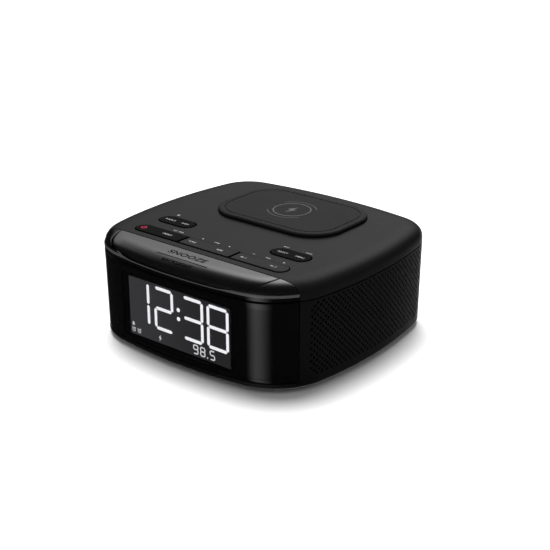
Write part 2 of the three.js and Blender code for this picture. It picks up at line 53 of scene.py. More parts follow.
# ------------------------------------------------------------------ dimensions of the casing (as in the CAD model)
HALF_W, HALF_D, SIDE_MID = 85.0, 81.21, 1.13
FRONT_BOW, SIDE_BOW, REAR_BOW = 312.5, 270.27, 344.83
FRONT_CORNER, REAR_CORNER = 39.77, 27.62
DRAFT, Z_SEAM = 0.72 / 60, 55.66
Z_DOME, Z_TOP, SHOULDER, SHOULDER_N = 57.5, 65.9, 14.5, 2.6
Z_LIP, PART_Y = 58.75, -58.87
SNOOZE_INSET = 1.4
KEY_Y = (-53.67, -42.67)
KEY_X, KEY_SPLIT = 58.5, (-20.4, 19.6)
PILL = dict(x=44.7, y=-27.6, w=27.0, d=12.0)
PAD = dict(y=30.0, w=92.0, d=64.0, r=22.0, top=68.3)
KEY_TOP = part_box("key_tuning")[1].z / MM
FEET = [(48, -60), (-48, -60), (50, 63), (-50, 63)]


def lean(z):
    return max(0.0, DRAFT * (Z_SEAM - z))


# ------------------------------------------------------------------ plan outline: five tangent arcs and their mirror image
def crossing(c1, r1, c2, r2):
    c1, c2 = np.array(c1, float), np.array(c2, float)
    d = np.hypot(*(c2 - c1))
    a = (r1 * r1 - r2 * r2 + d * d) / (2 * d)
    h = math.sqrt(max(r1 * r1 - a * a, 0))
    u = (c2 - c1) / d
    n = np.array([-u[1], u[0]])
    return [c1 + a * u + s * h * n for s in (1, -1)]


_F = np.array([0, -HALF_D + FRONT_BOW]); _S = np.array([HALF_W - SIDE_BOW, SIDE_MID]); _R = np.array([0, HALF_D - REAR_BOW])
_c1 = max(crossing(_F, FRONT_BOW - FRONT_CORNER, _S, SIDE_BOW - FRONT_CORNER), key=lambda p: p[0] - p[1])
_c2 = max(crossing(_S, SIDE_BOW - REAR_CORNER, _R, REAR_BOW - REAR_CORNER), key=lambda p: p[0] + p[1])
_ang = lambda o, p: math.atan2(p[1] - o[1], p[0] - o[0])
_t = [-math.pi / 2, _ang(_F, _c1), _ang(_S, _c1), _ang(_S, _c2), _ang(_R, _c2), math.pi / 2]
ARCS = [(_F, FRONT_BOW), (_c1, FRONT_CORNER), (_S, SIDE_BOW), (_c2, REAR_CORNER), (_R, REAR_BOW)]
ARC_LEN = [r * (_t[i + 1] - _t[i]) for i, (_, r) in enumerate(ARCS)]
ARC_END = np.cumsum(ARC_LEN)
HALF_LEN = float(ARC_END[-1])


def rim(u, inset=0.0):
    """Point and inward normal on the outline at arc length u, counted from the front's middle to the right; it may run past the rear's middle or be negative."""
    u = (u + HALF_LEN) % (2 * HALF_LEN) - HALF_LEN
    s = abs(u)
    k = min(int(np.searchsorted(ARC_END, s)), 4)
    c, r = ARCS[k]
    a = _t[k] + (s - (ARC_END[k] - ARC_LEN[k])) / r
    n = np.array([-math.cos(a), -math.sin(a)])
    p = c - n * r + n * inset
    if u < 0:
        p, n = p * [-1, 1], n * [-1, 1]
    return p, n


def u_where(test, lo, hi):
    """Arc length between lo and hi at which test turns true."""
    for _ in range(50):
        mid = (lo + hi) / 2
        if test(rim(mid)[0]):
            hi = mid
        else:
            lo = mid
    return (lo + hi) / 2


U_PART = u_where(lambda p: p[1] > PART_Y, 20, ARC_END[1])
RIM = np.array([np.concatenate(rim(u)) for u in np.linspace(-HALF_LEN, HALF_LEN, 1601)[:-1]])


def inset_of(x, y):
    """How far a plan point lies inside the outline."""
    d = np.hypot(RIM[:, 0] - x, RIM[:, 1] - y)
    i = int(d.argmin())
    return float((np.array([x, y]) - RIM[i, :2]) @ RIM[i, 2:])


def dome(i, base=0.0, reach=SHOULDER):
    """Height of the shoulder at an inset from the outline."""
    if i >= base + reach:
        return Z_TOP
    w = min(1.0, max(0.0, 1 - (i - base) / reach))
    return Z_DOME + (Z_TOP - Z_DOME) * (1 - w ** SHOULDER_N) ** (1 / SHOULDER_N)


def bar_height(x, y):
    return dome(inset_of(x, y), SNOOZE_INSET, SHOULDER - SNOOZE_INSET)


# ------------------------------------------------------------------ meshes
def link(ob):
    scene.collection.objects.link(ob)
    return ob


def make(name, verts, faces, mats, index=None, sharp=35.0, merge=0.0004):
    me = bpy.data.meshes.new(name)
    me.from_pydata([tuple(v) for v in np.asarray(verts, float) * MM], [], [list(map(int, f)) for f in faces])
    for m in mats:
        me.materials.append(m)
    if index is not None:
        me.polygons.foreach_set("material_index", index)
    bm = bmesh.new()
    bm.from_mesh(me)
    if merge:
        bmesh.ops.remove_doubles(bm, verts=bm.verts, dist=merge * MM)
        bmesh.ops.dissolve_degenerate(bm, edges=bm.edges, dist=merge * MM)
    bmesh.ops.recalc_face_normals(bm, faces=bm.faces)
    for f in bm.faces:
        f.smooth = True
    bm.to_mesh(me)
    bm.free()
    if sharp:
        me.set_sharp_from_angle(angle=math.radians(sharp))
    return link(bpy.data.objects.new(name, me))


class Build:
    """Collects vertices and faces of one piece."""

    def __init__(self):
        self.v, self.f, self.m = [], [], []

    def rows(self, rows, closed=False, mat=0):
        """Quads between successive rows of points."""
        base = len(self.v)
        n = len(rows[0])
        for r in rows:
            self.v.extend(r)
        for i in range(len(rows) - 1):
            for j in range(n if closed else n - 1):
                a, b = base + i * n + j, base + i * n + (j + 1) % n
                self.f.append((a, b, b + n, a + n))
                self.m.append(mat)
        return base

    def poly(self, pts, mat=0):
        base = len(self.v)
        self.v.extend(pts)
        self.f.append(tuple(range(base, base + len(pts))))
        self.m.append(mat)

    def done(self, name, mats, **k):
        return make(name, self.v, self.f, mats, self.m, **k)


def rounded_rect(w, d, r, seg=10, cx=0.0, cy=0.0):
    pts = []
    for sx, sy, a0 in ((1, -1, -90), (1, 1, 0), (-1, 1, 90), (-1, -1, 180)):
        for k in range(seg + 1):
            a = math.radians(a0 + 90 * k / seg)
            pts.append((cx + sx * (w / 2 - r) + r * math.cos(a), cy + sy * (d / 2 - r) + r * math.sin(a)))
    return np.array(pts)


def shrink(poly, d):
    """A counter-clockwise plan polygon moved inwards by d along its corner bisectors."""
    p = np.asarray(poly, float)
    e = np.roll(p, -1, 0) - p
    e /= np.maximum(np.hypot(e[:, 0], e[:, 1])[:, None], 1e-9)
    n = np.stack([-e[:, 1], e[:, 0]], 1)
    b = n + np.roll(n, 1, 0)
    b /= np.maximum((b * np.roll(n, 1, 0)).sum(1), 0.3)[:, None]
    return p + b * d


def clean(poly, eps=0.02):
    out = []
    for q in poly:
        if not out or math.hypot(q[0] - out[-1][0], q[1] - out[-1][1]) > eps:
            out.append(tuple(q))
    if math.hypot(out[0][0] - out[-1][0], out[0][1] - out[-1][1]) < eps:
        out.pop()
    return np.array(out)


def cap(name, plan, z0, top, radius, mats, steps=5, dish=0.0, slope=0.0, y_mid=0.0):
    """A moulded cap: upright wall from z0, a rounded edge and a top that may be dished and sloped; plan(d) is its outline moved inwards by d."""
    b = Build()
    h = lambda x, y: top - slope * (y - y_mid)
    rows = [[(x, y, z0) for x, y in plan(0.15)], [(x, y, z0 + 0.15) for x, y in plan(0)]]
    for k in range(steps + 1):
        a = math.pi / 2 * k / steps
        rows.append([(x, y, h(x, y) - radius * (1 - math.sin(a))) for x, y in plan(radius * (1 - math.cos(a)))])
    for d, part in ((0.4, 0.08), (1.0, 0.3), (1.8, 0.62), (2.8, 0.88), (3.9, 0.98)):
        rows.append([(x, y, h(x, y) - dish * part) for x, y in plan(radius + d)])
    b.rows(rows, closed=True)
    b.poly(rows[-1])
    b.poly(rows[0][::-1])
    return b.done(name, mats)


def turned(name, profile, at, mats, sides=48, axis="Z", sharp=35.0):
    """A turned piece: profile of (radius, height) from axis to axis."""
    b = Build()
    rows = []
    for r, h in profile:
        row = []
        for k in range(sides):
            a = 2 * math.pi * k / sides
            p = (r * math.cos(a), r * math.sin(a), h)
            if axis == "Y":
                p = (p[0], -p[2], p[1])
            if axis == "X":
                p = (p[2], p[0], p[1])
            row.append((p[0] + at[0], p[1] + at[1], p[2] + at[2]))
        rows.append(row)
    b.rows(rows, closed=True)
    return b.done(name, mats, sharp=sharp)


# ------------------------------------------------------------------ materials
def nodes_of(name):
    m = bpy.data.materials.new(name)
    m.use_nodes = True
    t = m.node_tree
    return m, t, t.nodes["Principled BSDF"]


def plastic(name, color, rough=0.5, spec=0.5, grain=0.0, grain_scale=900.0, mottle=0.08, rough_var=0.06, metallic=0.0, coat=0.0, coat_rough=0.1, stretch=None, sheen=0.0):
    """Moulded or coated surface: fine grain bump, slow colour drift and roughness that varies a little."""
    m, t, p = nodes_of(name)
    N, L = t.nodes, t.links
    co = N.new("ShaderNodeTexCoord")
    mp = N.new("ShaderNodeMapping")
    L.new(co.outputs["Object"], mp.inputs["Vector"])
    if stretch:
        mp.inputs["Scale"].default_value = stretch
    slow = N.new("ShaderNodeTexNoise"); slow.inputs["Scale"].default_value = 38.0; slow.inputs["Detail"].default_value = 4.0
    L.new(mp.outputs["Vector"], slow.inputs["Vector"])
    ramp = N.new("ShaderNodeMapRange")
    ramp.inputs["From Min"].default_value, ramp.inputs["From Max"].default_value = 0.3, 0.7
    ramp.inputs["To Min"].default_value, ramp.inputs["To Max"].default_value = 1 - mottle, 1 + mottle
    L.new(slow.outputs["Fac"], ramp.inputs["Value"])
    mul = N.new("ShaderNodeVectorMath"); mul.operation = "SCALE"
    mul.inputs[0].default_value = color
    L.new(ramp.outputs["Result"], mul.inputs["Scale"])
    L.new(mul.outputs["Vector"], p.inputs["Base Color"])
    fine = N.new("ShaderNodeTexNoise"); fine.inputs["Scale"].default_value = grain_scale; fine.inputs["Detail"].default_value = 3.0
    L.new(mp.outputs["Vector"], fine.inputs["Vector"])
    rr = N.new("ShaderNodeMapRange")
    rr.inputs["From Min"].default_value, rr.inputs["From Max"].default_value = 0.3, 0.7
    rr.inputs["To Min"].default_value, rr.inputs["To Max"].default_value = max(0.01, rough - rough_var), min(1, rough + rough_var)
    L.new(fine.outputs["Fac"] if grain else slow.outputs["Fac"], rr.inputs["Value"])
    L.new(rr.outputs["Result"], p.inputs["Roughness"])
    if grain:
        bump = N.new("ShaderNodeBump")
        bump.inputs["Strength"].default_value = 1.0
        bump.inputs["Distance"].default_value = grain * MM
        L.new(fine.outputs["Fac"], bump.inputs["Height"])
        L.new(bump.outputs["Normal"], p.inputs["Normal"])
    p.inputs["Specular IOR Level"].default_value = spec
    p.inputs["Metallic"].default_value = metallic
    p.inputs["Coat Weight"].default_value = coat
    p.inputs["Coat Roughness"].default_value = coat_rough
    p.inputs["Sheen Weight"].default_value = sheen
    return m


def glow(name, color, strength):
    m, t, p = nodes_of(name)
    N, L = t.nodes, t.links
    co = N.new("ShaderNodeTexCoord")
    n = N.new("ShaderNodeTexNoise"); n.inputs["Scale"].default_value = 260.0
    L.new(co.outputs["Object"], n.inputs["Vector"])
    r = N.new("ShaderNodeMapRange"); r.inputs["To Min"].default_value, r.inputs["To Max"].default_value = 0.97, 1.0
    L.new(n.outputs["Fac"], r.inputs["Value"])
    s = N.new("ShaderNodeVectorMath"); s.operation = "SCALE"; s.inputs[0].default_value = color
    L.new(r.outputs["Result"], s.inputs["Scale"])
    L.new(s.outputs["Vector"], p.inputs["Emission Color"])
    L.new(s.outputs["Vector"], p.inputs["Base Color"])
    p.inputs["Emission Strength"].default_value = strength
    p.inputs["Roughness"].default_value = 0.6
    return m


M_COVER = plastic("soft_touch_black", (0.0060, 0.0059, 0.0061), rough=0.46, spec=0.2, grain=0.012, grain_scale=2600, mottle=0.05)
M_CABINET = plastic("cabinet_texture_black", (0.0047, 0.0039, 0.0050), rough=0.5, spec=0.22, grain=0.012, grain_scale=2400, mottle=0.06)
M_CLOTH = plastic("acoustic_cloth", (0.0015, 0.0015, 0.0016), rough=0.95, spec=0.05, grain=0.06, grain_scale=1500, mottle=0.3)
M_GLOSS = plastic("piano_black", (0.0018, 0.0018, 0.0019), rough=0.05, spec=0.5, grain=0.0, mottle=0.1, rough_var=0.015)
M_SNOOZE = plastic("satin_lacquer", (0.225, 0.225, 0.23), rough=0.31, spec=0.5, grain=0.0009, grain_scale=900, mottle=0.03, metallic=1.0, stretch=(1.0, 0.1, 0.1), rough_var=0.02)
# painted shade: a darker, less glossy copy of the key plastic, standing in for the shade on the power key and the two
# pills
M_KEY_PAINTED_SHADE = plastic("key_plastic_painted_shade", (0.0030, 0.0030, 0.0031), rough=0.46, spec=0.02, grain=0.01, grain_scale=2600, mottle=0.05)
M_KEY = plastic("key_plastic", (0.0062, 0.0062, 0.0064), rough=0.46, spec=0.2, grain=0.01, grain_scale=2600, mottle=0.05)
M_RUBBER = plastic("silicone_rubber", (0.010, 0.010, 0.0102), rough=0.65, spec=0.3, grain=0.02, grain_scale=1800, mottle=0.08)
M_FOOT = plastic("foot_rubber", (0.012, 0.012, 0.012), rough=0.8, spec=0.2, grain=0.03, grain_scale=1400, mottle=0.12)
M_INNER = plastic("inner_plastic", (0.012, 0.012, 0.0125), rough=0.6, spec=0.3, grain=0.02, grain_scale=1200, mottle=0.1)
M_BOARD = plastic("solder_mask", (0.008, 0.075, 0.028), rough=0.32, spec=0.5, grain=0.01, grain_scale=700, mottle=0.2)
M_BOARD_BLACK = plastic("solder_mask_black", (0.004, 0.005, 0.0045), rough=0.4, spec=0.3, grain=0.01, grain_scale=700, mottle=0.2)
M_STEEL = plastic("zinc_steel", (0.52, 0.53, 0.54), rough=0.3, spec=0.5, grain=0.006, grain_scale=500, mottle=0.06, metallic=1.0, stretch=(1, 8, 1))
M_DARKSTEEL = plastic("blackened_steel", (0.09, 0.09, 0.095), rough=0.38, spec=0.5, grain=0.006, grain_scale=600, mottle=0.08, metallic=0.9)
M_GOLD = plastic("contact_gold", (0.75, 0.52, 0.2), rough=0.25, spec=0.5, grain=0.004, grain_scale=500, mottle=0.05, metallic=1.0)
M_COPPER = plastic("enamelled_copper", (0.55, 0.2, 0.07), rough=0.3, spec=0.5, grain=0.05, grain_scale=300, mottle=0.1, metallic=1.0)
M_FERRITE = plastic("ferrite", (0.03, 0.03, 0.031), rough=0.75, spec=0.3, grain=0.03, grain_scale=900, mottle=0.2)
M_ALU = plastic("extruded_aluminium", (0.6, 0.61, 0.62), rough=0.35, spec=0.5, grain=0.01, grain_scale=400, mottle=0.05, metallic=1.0, stretch=(8, 1, 1))
M_CONE = plastic("paper_cone", (0.010, 0.010, 0.0105), rough=0.9, spec=0.15, grain=0.08, grain_scale=900, mottle=0.2)
M_MAGNET = plastic("magnet_cup", (0.10, 0.10, 0.105), rough=0.42, spec=0.5, grain=0.015, grain_scale=500, mottle=0.12, metallic=0.7)
M_GUIDE = plastic("light_guide", (0.75, 0.77, 0.8), rough=0.4, spec=0.4, grain=0.01, grain_scale=700, mottle=0.03)
M_WIRE = plastic("wire_insulation", (0.3, 0.02, 0.02), rough=0.45, spec=0.4, grain=0.01, grain_scale=900, mottle=0.1)
M_FILM = plastic("film_cable", (0.62, 0.58, 0.48), rough=0.35, spec=0.5, grain=0.01, grain_scale=300, mottle=0.06, stretch=(12, 1, 1))
# painted highlight: a lighter grey than the gloss black, put on the lip's rounded edge so that it shows as a bright
# line
M_LIP_PAINTED_HIGHLIGHT = plastic("lip_painted_highlight", (0.07, 0.07, 0.072), rough=0.24, spec=0.5, grain=0.004, mottle=0.05)
M_PRINT = plastic("print_white", (0.42, 0.42, 0.43), rough=0.55, spec=0.3, grain=0.004, grain_scale=900, mottle=0.05)
M_PRINT_DARK = plastic("print_black", (0.002, 0.002, 0.002), rough=0.85, spec=0.0, grain=0.004, grain_scale=900, mottle=0.05)
M_PRINT_RED = plastic("print_red", (0.42, 0.012, 0.06), rough=0.55, spec=0.3, grain=0.004, grain_scale=900, mottle=0.08)
M_DIGIT = glow("digit_white", (1.0, 1.0, 1.0), 1.9)
M_ICON = glow("icon_white", (1.0, 1.0, 1.0), 1.3)


def smoked_lens():
    m, t, p = nodes_of("smoked_window")
    N, L = t.nodes, t.links
    co = N.new("ShaderNodeTexCoord")
    n = N.new("ShaderNodeTexNoise"); n.inputs["Scale"].default_value = 45.0
    L.new(co.outputs["Object"], n.inputs["Vector"])
    r = N.new("ShaderNodeMapRange"); r.inputs["To Min"].default_value, r.inputs["To Max"].default_value = 0.015, 0.035
    L.new(n.outputs["Fac"], r.inputs["Value"])
    L.new(r.outputs["Result"], p.inputs["Roughness"])
    p.inputs["Base Color"].default_value = (0.5, 0.5, 0.52, 1)
    p.inputs["Transmission Weight"].default_value = 1.0
    p.inputs["IOR"].default_value = 1.49
    return m


def display_painted_glow():
    """The unlit display cell with painted glow: dark grey, its emission stands in for light on it and is a little
    stronger towards the left, a painted gradient.
    """
    m, t, p = nodes_of("display_cell_painted_glow")
    N, L = t.nodes, t.links
    co = N.new("ShaderNodeTexCoord")
    sep = N.new("ShaderNodeSeparateXYZ")
    L.new(co.outputs["Object"], sep.inputs["Vector"])
    # painted glow gradient: the emission is stronger towards the left
    r = N.new("ShaderNodeMapRange"); r.interpolation_type = "SMOOTHSTEP"
    r.inputs["From Min"].default_value, r.inputs["From Max"].default_value = -0.042, 0.03
    r.inputs["To Min"].default_value, r.inputs["To Max"].default_value = 1.25, 0.62
    L.new(sep.outputs["X"], r.inputs["Value"])
    n = N.new("ShaderNodeTexNoise"); n.inputs["Scale"].default_value = 1500.0
    L.new(co.outputs["Object"], n.inputs["Vector"])
    r2 = N.new("ShaderNodeMapRange"); r2.inputs["To Min"].default_value, r2.inputs["To Max"].default_value = 0.94, 1.06
    L.new(n.outputs["Fac"], r2.inputs["Value"])
    mul = N.new("ShaderNodeMath"); mul.operation = "MULTIPLY"
    L.new(r.outputs["Result"], mul.inputs[0]); L.new(r2.outputs["Result"], mul.inputs[1])
    s = N.new("ShaderNodeVectorMath"); s.operation = "SCALE"; s.inputs[0].default_value = (0.066, 0.066, 0.0676)
    L.new(mul.outputs["Value"], s.inputs["Scale"])
    L.new(s.outputs["Vector"], p.inputs["Emission Color"])
    p.inputs["Emission Strength"].default_value = 1.0
    p.inputs["Base Color"].default_value = (0.006, 0.006, 0.0062, 1)
    p.inputs["Roughness"].default_value = 0.6
    p.inputs["Specular IOR Level"].default_value = 0.03
    return m


M_WINDOW = smoked_lens()
M_LCD_PAINTED_GLOW = display_painted_glow()

# ------------------------------------------------------------------ cabinet: perforated walls, rear openings, sill
PITCH = 3.94
HALF_P = PITCH / 2
HOLE_R = 0.80
Z_ROW0 = 8.9
N_ROWS = 23


def wall_point(u, z, depth=0.0, inset=None):
    p, n = rim(u)
    q = p + n * ((lean(z) if inset is None else inset) + depth)
    return (q[0], q[1], z)


def build_cabinet():
    b = Build()
    u_a = U_PART + 0.15
    n_cols = int((ARC_END[3] - 1.0 - (u_a + 5.6)) / PITCH)  # pairs of columns, to the end of the rear corner
    start = u_a + 5.6
    cols_r = [start + HALF_P * k for k in range(2 * n_cols + 2)]
    end = cols_r[-1]
    rear = lambda u: 2 * HALF_LEN - u
    # openings of the rear wall, as arc lengths on the rear arc (x = R sin)
    def u_rear(x):
        return u_where(lambda p: p[0] < x, ARC_END[3], HALF_LEN) if x >= 0 else rear(u_where(lambda p: p[0] < -x, ARC_END[3], HALF_LEN))
    marks = [u_rear(x) for x in (45.6, 38.4, 5.6, -8.6, -24.2, -34.8)]
    cols = [u_a, u_a + 0.25] + list(np.linspace(u_a + 0.25, start, 5)[1:-1]) + cols_r
    extra = list(np.linspace(end, rear(end), 40)[1:-1])
    extra = [u for u in extra if min(abs(u - m) for m in marks) > 0.8]
    cols += sorted(extra + marks)
    cols += [rear(u) for u in cols_r[::-1]] + [rear(u) for u in (list(np.linspace(u_a + 0.25, start, 5)[1:-1])[::-1] + [u_a + 0.25, u_a])]
    zr = [Z_ROW0 + HALF_P * k for k in range(N_ROWS + 1)]
    zs = sorted(set([4.3, 5.4, 6.1, 7.6] + zr + [54.6, 55.0] + [13.7, 25.3, 14.3, 21.1, 21.6, 14.4]))
    zs = [z for i, z in enumerate(zs) if i == 0 or z - zs[i - 1] > 1e-6]
    nu, nz = len(cols), len(zs)
    idx = {}
    for i, u in enumerate(cols):
        for j, z in enumerate(zs):
            idx[i, j] = len(b.v)
            b.v.append(wall_point(u, z))
    ci = {round(u, 6): i for i, u in enumerate(cols)}
    zi = {round(z, 6): j for j, z in enumerate(zs)}
    taken = set()
    ring_n = 12

    def hole(u0, k, row):
        """A perforation in the brick of two columns starting at column index k, in one row of holes."""
        j0, j1 = zi[round(zr[row], 6)], zi[round(zr[row + 1], 6)]
        uc, zc = cols[k + 1], (zr[row] + zr[row + 1]) / 2
        # the brick's border: its grid points in order, counter-clockwise from the lower right
        js = list(range(j0, j1 + 1))
        border = {
            330: idx[k + 2, j0], 30: idx[k + 2, j1], 90: idx[k + 1, j1], 150: idx[k, j1], 210: idx[k, j0], 270: idx[k + 1, j0]}
        right = [idx[k + 2, j] for j in js[1:-1]]
        left = [idx[k, j] for j in js[1:-1]][::-1]
        rings = []
        for r, depth in ((HOLE_R + 0.1, 0.0), (HOLE_R, 0.1), (HOLE_R, 1.6)):
            base = len(b.v)
            for q in range(ring_n):
                a = math.radians(30 * q)
                b.v.append(wall_point(uc + r * math.cos(a), zc + r * math.sin(a), depth))
            rings.append(base)
        R = rings[0]
        order = [(330, 30, right), (30, 90, []), (90, 150, []), (150, 210, left), (210, 270, []), (270, 330, [])]
        for a0, a1, mid in order:
            r0, r1, rm = R + a0 // 30, R + a1 // 30, R + ((a0 + 30) % 360) // 30
            b.f.append((border[a0], *mid, border[a1], r1, rm, r0)); b.m.append(0)
        for q in range(ring_n):
            q2 = (q + 1) % ring_n
            for s in (0, 1):
                b.f.append((rings[s] + q, rings[s] + q2, rings[s + 1] + q2, rings[s + 1] + q)); b.m.append(0)
        b.f.append(tuple(rings[2] + q for q in range(ring_n))); b.m.append(1)
        for kk in (k, k + 1):
            for j in range(j0, j1):
                taken.add((kk, j))

    n_side = len(cols_r) - 1
    for mirror in (False, True):
        for row in range(N_ROWS):
            off = row % 2
            for c in range(off, n_side - 1, 2):
                uc_i = c + 1
                # rounded corners of the perforated field
                du = min(cols_r[uc_i] - start, end - cols_r[uc_i])
                dz = min(zr[row] + HALF_P / 2 - zr[0], zr[-1] - zr[row] - HALF_P / 2)
                if du < 6 and dz < 6 and math.hypot(6 - du, 6 - dz) > 5.4:
                    continue
                if not mirror:
                    k = ci[round(cols_r[c], 6)]
                else:
                    k = ci[round(rear(cols_r[c + 2]), 6)]
                hole(None, k, row)
    # rear openings
    def is_open(i, j):
        u, z = (cols[i] + cols[i + 1]) / 2, (zs[j] + zs[j + 1]) / 2
        if marks[2] < u < marks[3] and 14.3 < z < 21.1:
            return True
        if marks[4] < u < marks[5] and 13.7 < z < 25.3:
            return True
        return marks[0] < u < marks[1] and 14.4 < z < 21.6
    opened = {(i, j) for i in range(nu - 1) for j in range(nz - 1) if is_open(i, j)}
    for i in range(nu - 1):
        for j in range(nz - 1):
            if (i, j) in taken or (i, j) in opened:
                continue
            b.f.append((idx[i, j], idx[i + 1, j], idx[i + 1, j + 1], idx[i, j + 1])); b.m.append(0)
    # reveals of the two sockets' openings, with a small chamfer
    for (ua, ub, za, zb) in ((marks[2], marks[3], 14.3, 21.1), (marks[4], marks[5], 13.7, 25.3)):
        us = [u for u in cols if ua - 1e-6 <= u <= ub + 1e-6]
        zz = [z for z in zs if za - 1e-6 <= z <= zb + 1e-6]
        loop = [(u, za) for u in us] + [(ub, z) for z in zz[1:]] + [(u, zb) for u in us[::-1][1:]] + [(ua, z) for z in zz[::-1][1:-1]]
        uc, zc = (ua + ub) / 2, (za + zb) / 2
        def pull(u, z, d):
            return u + (d if u < ua + 1e-6 else -d if u > ub - 1e-6 else 0), z + (d if z < za + 1e-6 else -d if z > zb - 1e-6 else 0)
        rows = [[wall_point(u, z) for u, z in loop]]
        rows.append([wall_point(*pull(u, z, 0.2), 0.2) for u, z in loop])
        rows.append([wall_point(*pull(u, z, 0.2), 2.3) for u, z in loop])
        b.rows(rows, closed=True)
    # round opening of the aerial grommet in its square field
    ua, ub, za, zb = marks[0], marks[1], 14.4, 21.6
    us = [u for u in cols if ua - 1e-6 <= u <= ub + 1e-6]
    zz = [z for z in zs if za - 1e-6 <= z <= zb + 1e-6]
    uc, zc = u_rear(42), 18.0
    loop = [(u, za) for u in us] + [(ub, z) for z in zz[1:]] + [(u, zb) for u in us[::-1][1:]] + [(ua, z) for z in zz[::-1][1:-1]]
    ang = [math.atan2(z - zc, u - uc) for u, z in loop]
    dense, n_l = [], len(loop)
    for q in range(n_l):  # refine the square so that the round edge is smooth
        (u0, z0), (u1, z1) = loop[q], loop[(q + 1) % n_l]
        for s in range(6):
            dense.append((u0 + (u1 - u0) * s / 6, z0 + (z1 - z0) * s / 6))
    rows = [[wall_point(u, z) for u, z in dense]]
    for r, depth in ((3.62, 0.0), (3.45, 0.18), (3.45, 2.3)):
        rows.append([wall_point(uc + r * math.cos(math.atan2(z - zc, u - uc)), zc + r * math.sin(math.atan2(z - zc, u - uc)), depth) for u, z in dense])
    b.rows(rows, closed=True)
    # rounded lower edge all the way round, sill under the lens, inner faces, top rim
    def strip(us, profile):
        rows = []
        for inset, z in profile:
            rows.append([wall_point(u, z, 0, inset) for u in us])
        b.rows(rows)
    low = []
    for k in range(7):
        a = math.pi / 2 * k / 6
        low.append((lean(4.3) + 1.55 * (1 - math.sin(a)), 4.3 - 1.8 * math.cos(a)))
    strip(cols, [(3.0, 6.5), (3.0, 2.75), (2.75, 2.5)] + low)
    strip(cols, [(0.0 + lean(55.0), 55.0), (0.1, 55.26), (0.42, 55.42), (0.8, 55.5), (2.1, 55.5), (2.3, 55.3), (2.3, 50), (2.9, 8), (3.0, 6.5)])
    for u in (u_a, rear(u_a)):  # ends of the walls beside the lens
        pts = [wall_point(u, z, 0, lean(z)) for z in zs] + [wall_point(u, z, 0, i) for i, z in ((0.1, 55.26), (0.8, 55.5), (2.1, 55.5), (2.3, 50), (2.9, 8), (3.0, 6.1))]
        b.poly(pts)
    us = list(np.linspace(-u_a, u_a, 120))
    sill = [(3.0, 6.5), (3.0, 2.75), (2.75, 2.5)] + low + [(lean(5.4), 5.4), (lean(5.9), 5.87), (lean(6) + 0.1, 6.04), (lean(6) + 0.32, 6.1), (3.2, 6.1), (3.0, 6.5)]
    strip(us, sill)
    return b.done("cabinet_shell", [M_CABINET, M_CLOTH], sharp=32)


cabinet = build_cabinet()
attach(cabinet, "case"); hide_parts("cabinet")


# ------------------------------------------------------------------ top cover
def loft(name, levels, n=300):
    us = np.linspace(-HALF_LEN, HALF_LEN, n + 1)[:-1]
    b = Build()
    rows = []
    for inset, z in levels:
        rows.append([(*(lambda p, q: p + q * inset)(*rim(u)), z) for u in us])
    b.rows(rows, closed=True)
    b.poly(rows[-1]); b.poly(rows[0][::-1])
    return b.done(name, [], sharp=0)


def shoulder_levels(base=0.0, dz=0.0, n=14):
    out = []
    for k in range(n + 1):
        a = math.pi / 2 * k / n
        w = math.cos(a) ** (2 / SHOULDER_N)
        h = math.sin(a) ** (2 / SHOULDER_N)
        out.append((base + SHOULDER * (1 - w), Z_DOME + (Z_TOP - Z_DOME) * h + dz))
    return out


def prism(name, plan, z0, z1):
    b = Build()
    lo = [(x, y, z0) for x, y in plan]; hi = [(x, y, z1) for x, y in plan]
    b.rows([lo, hi], closed=True); b.poly(hi); b.poly(lo[::-1])
    return b.done(name, [], sharp=0)


def boolean(ob, tool, operation="DIFFERENCE"):
    m = ob.modifiers.new("b", "BOOLEAN")
    m.operation, m.object, m.solver = operation, tool, "EXACT"
    dg = bpy.context.evaluated_depsgraph_get()
    me = bpy.data.meshes.new_from_object(ob.evaluated_get(dg))
    ob.modifiers.clear()
    old = ob.data
    ob.data = me
    bpy.data.meshes.remove(old)
    bpy.data.objects.remove(tool)


def key_row(x0, x1, grow, left, right, seg=16):
    y0, y1 = KEY_Y[0] - grow, KEY_Y[1] + grow
    r, c, a, b = (y1 - y0) / 2, (y0 + y1) / 2, x0 - grow, x1 + grow
    q = max(0.7 + grow, 0.05)
    pts = []
    if right:
        pts += [(b - r + r * math.cos(t), c + r * math.sin(t)) for t in np.linspace(-math.pi / 2, math.pi / 2, 2 * seg)]
    else:
        pts += [(b - q + q * math.cos(t), y0 + q + q * math.sin(t)) for t in np.linspace(-math.pi / 2, 0, 5)]
        pts += [(b - q + q * math.cos(t), y1 - q + q * math.sin(t)) for t in np.linspace(0, math.pi / 2, 5)]
    if left:
        pts += [(a + r - r * math.sin(t), c + r * math.cos(t)) for t in np.linspace(0, math.pi, 2 * seg)]
    else:
        pts += [(a + q - q * math.sin(t), y1 - q + q * math.cos(t)) for t in np.linspace(0, math.pi / 2, 5)]
        pts += [(a + q - q * math.cos(t), y0 + q - q * math.sin(t)) for t in np.linspace(0, math.pi / 2, 5)]
    return np.array(pts)


def finish_edges(ob, width, segments=3, angle=38):
    """Rounds the edges of a boolean result and shades it by angle."""
    bev = ob.modifiers.new("bevel", "BEVEL")
    bev.width, bev.segments, bev.limit_method, bev.angle_limit = width * MM, segments, "ANGLE", math.radians(angle)
    bev.harden_normals = False
    bev.miter_outer = "MITER_ARC"
    wn = ob.modifiers.new("normals", "WEIGHTED_NORMAL")
    wn.mode, wn.weight, wn.keep_sharp = "FACE_AREA", 100, True
    dg = bpy.context.evaluated_depsgraph_get()
    me = bpy.data.meshes.new_from_object(ob.evaluated_get(dg))
    ob.modifiers.clear()
    ob.data = me


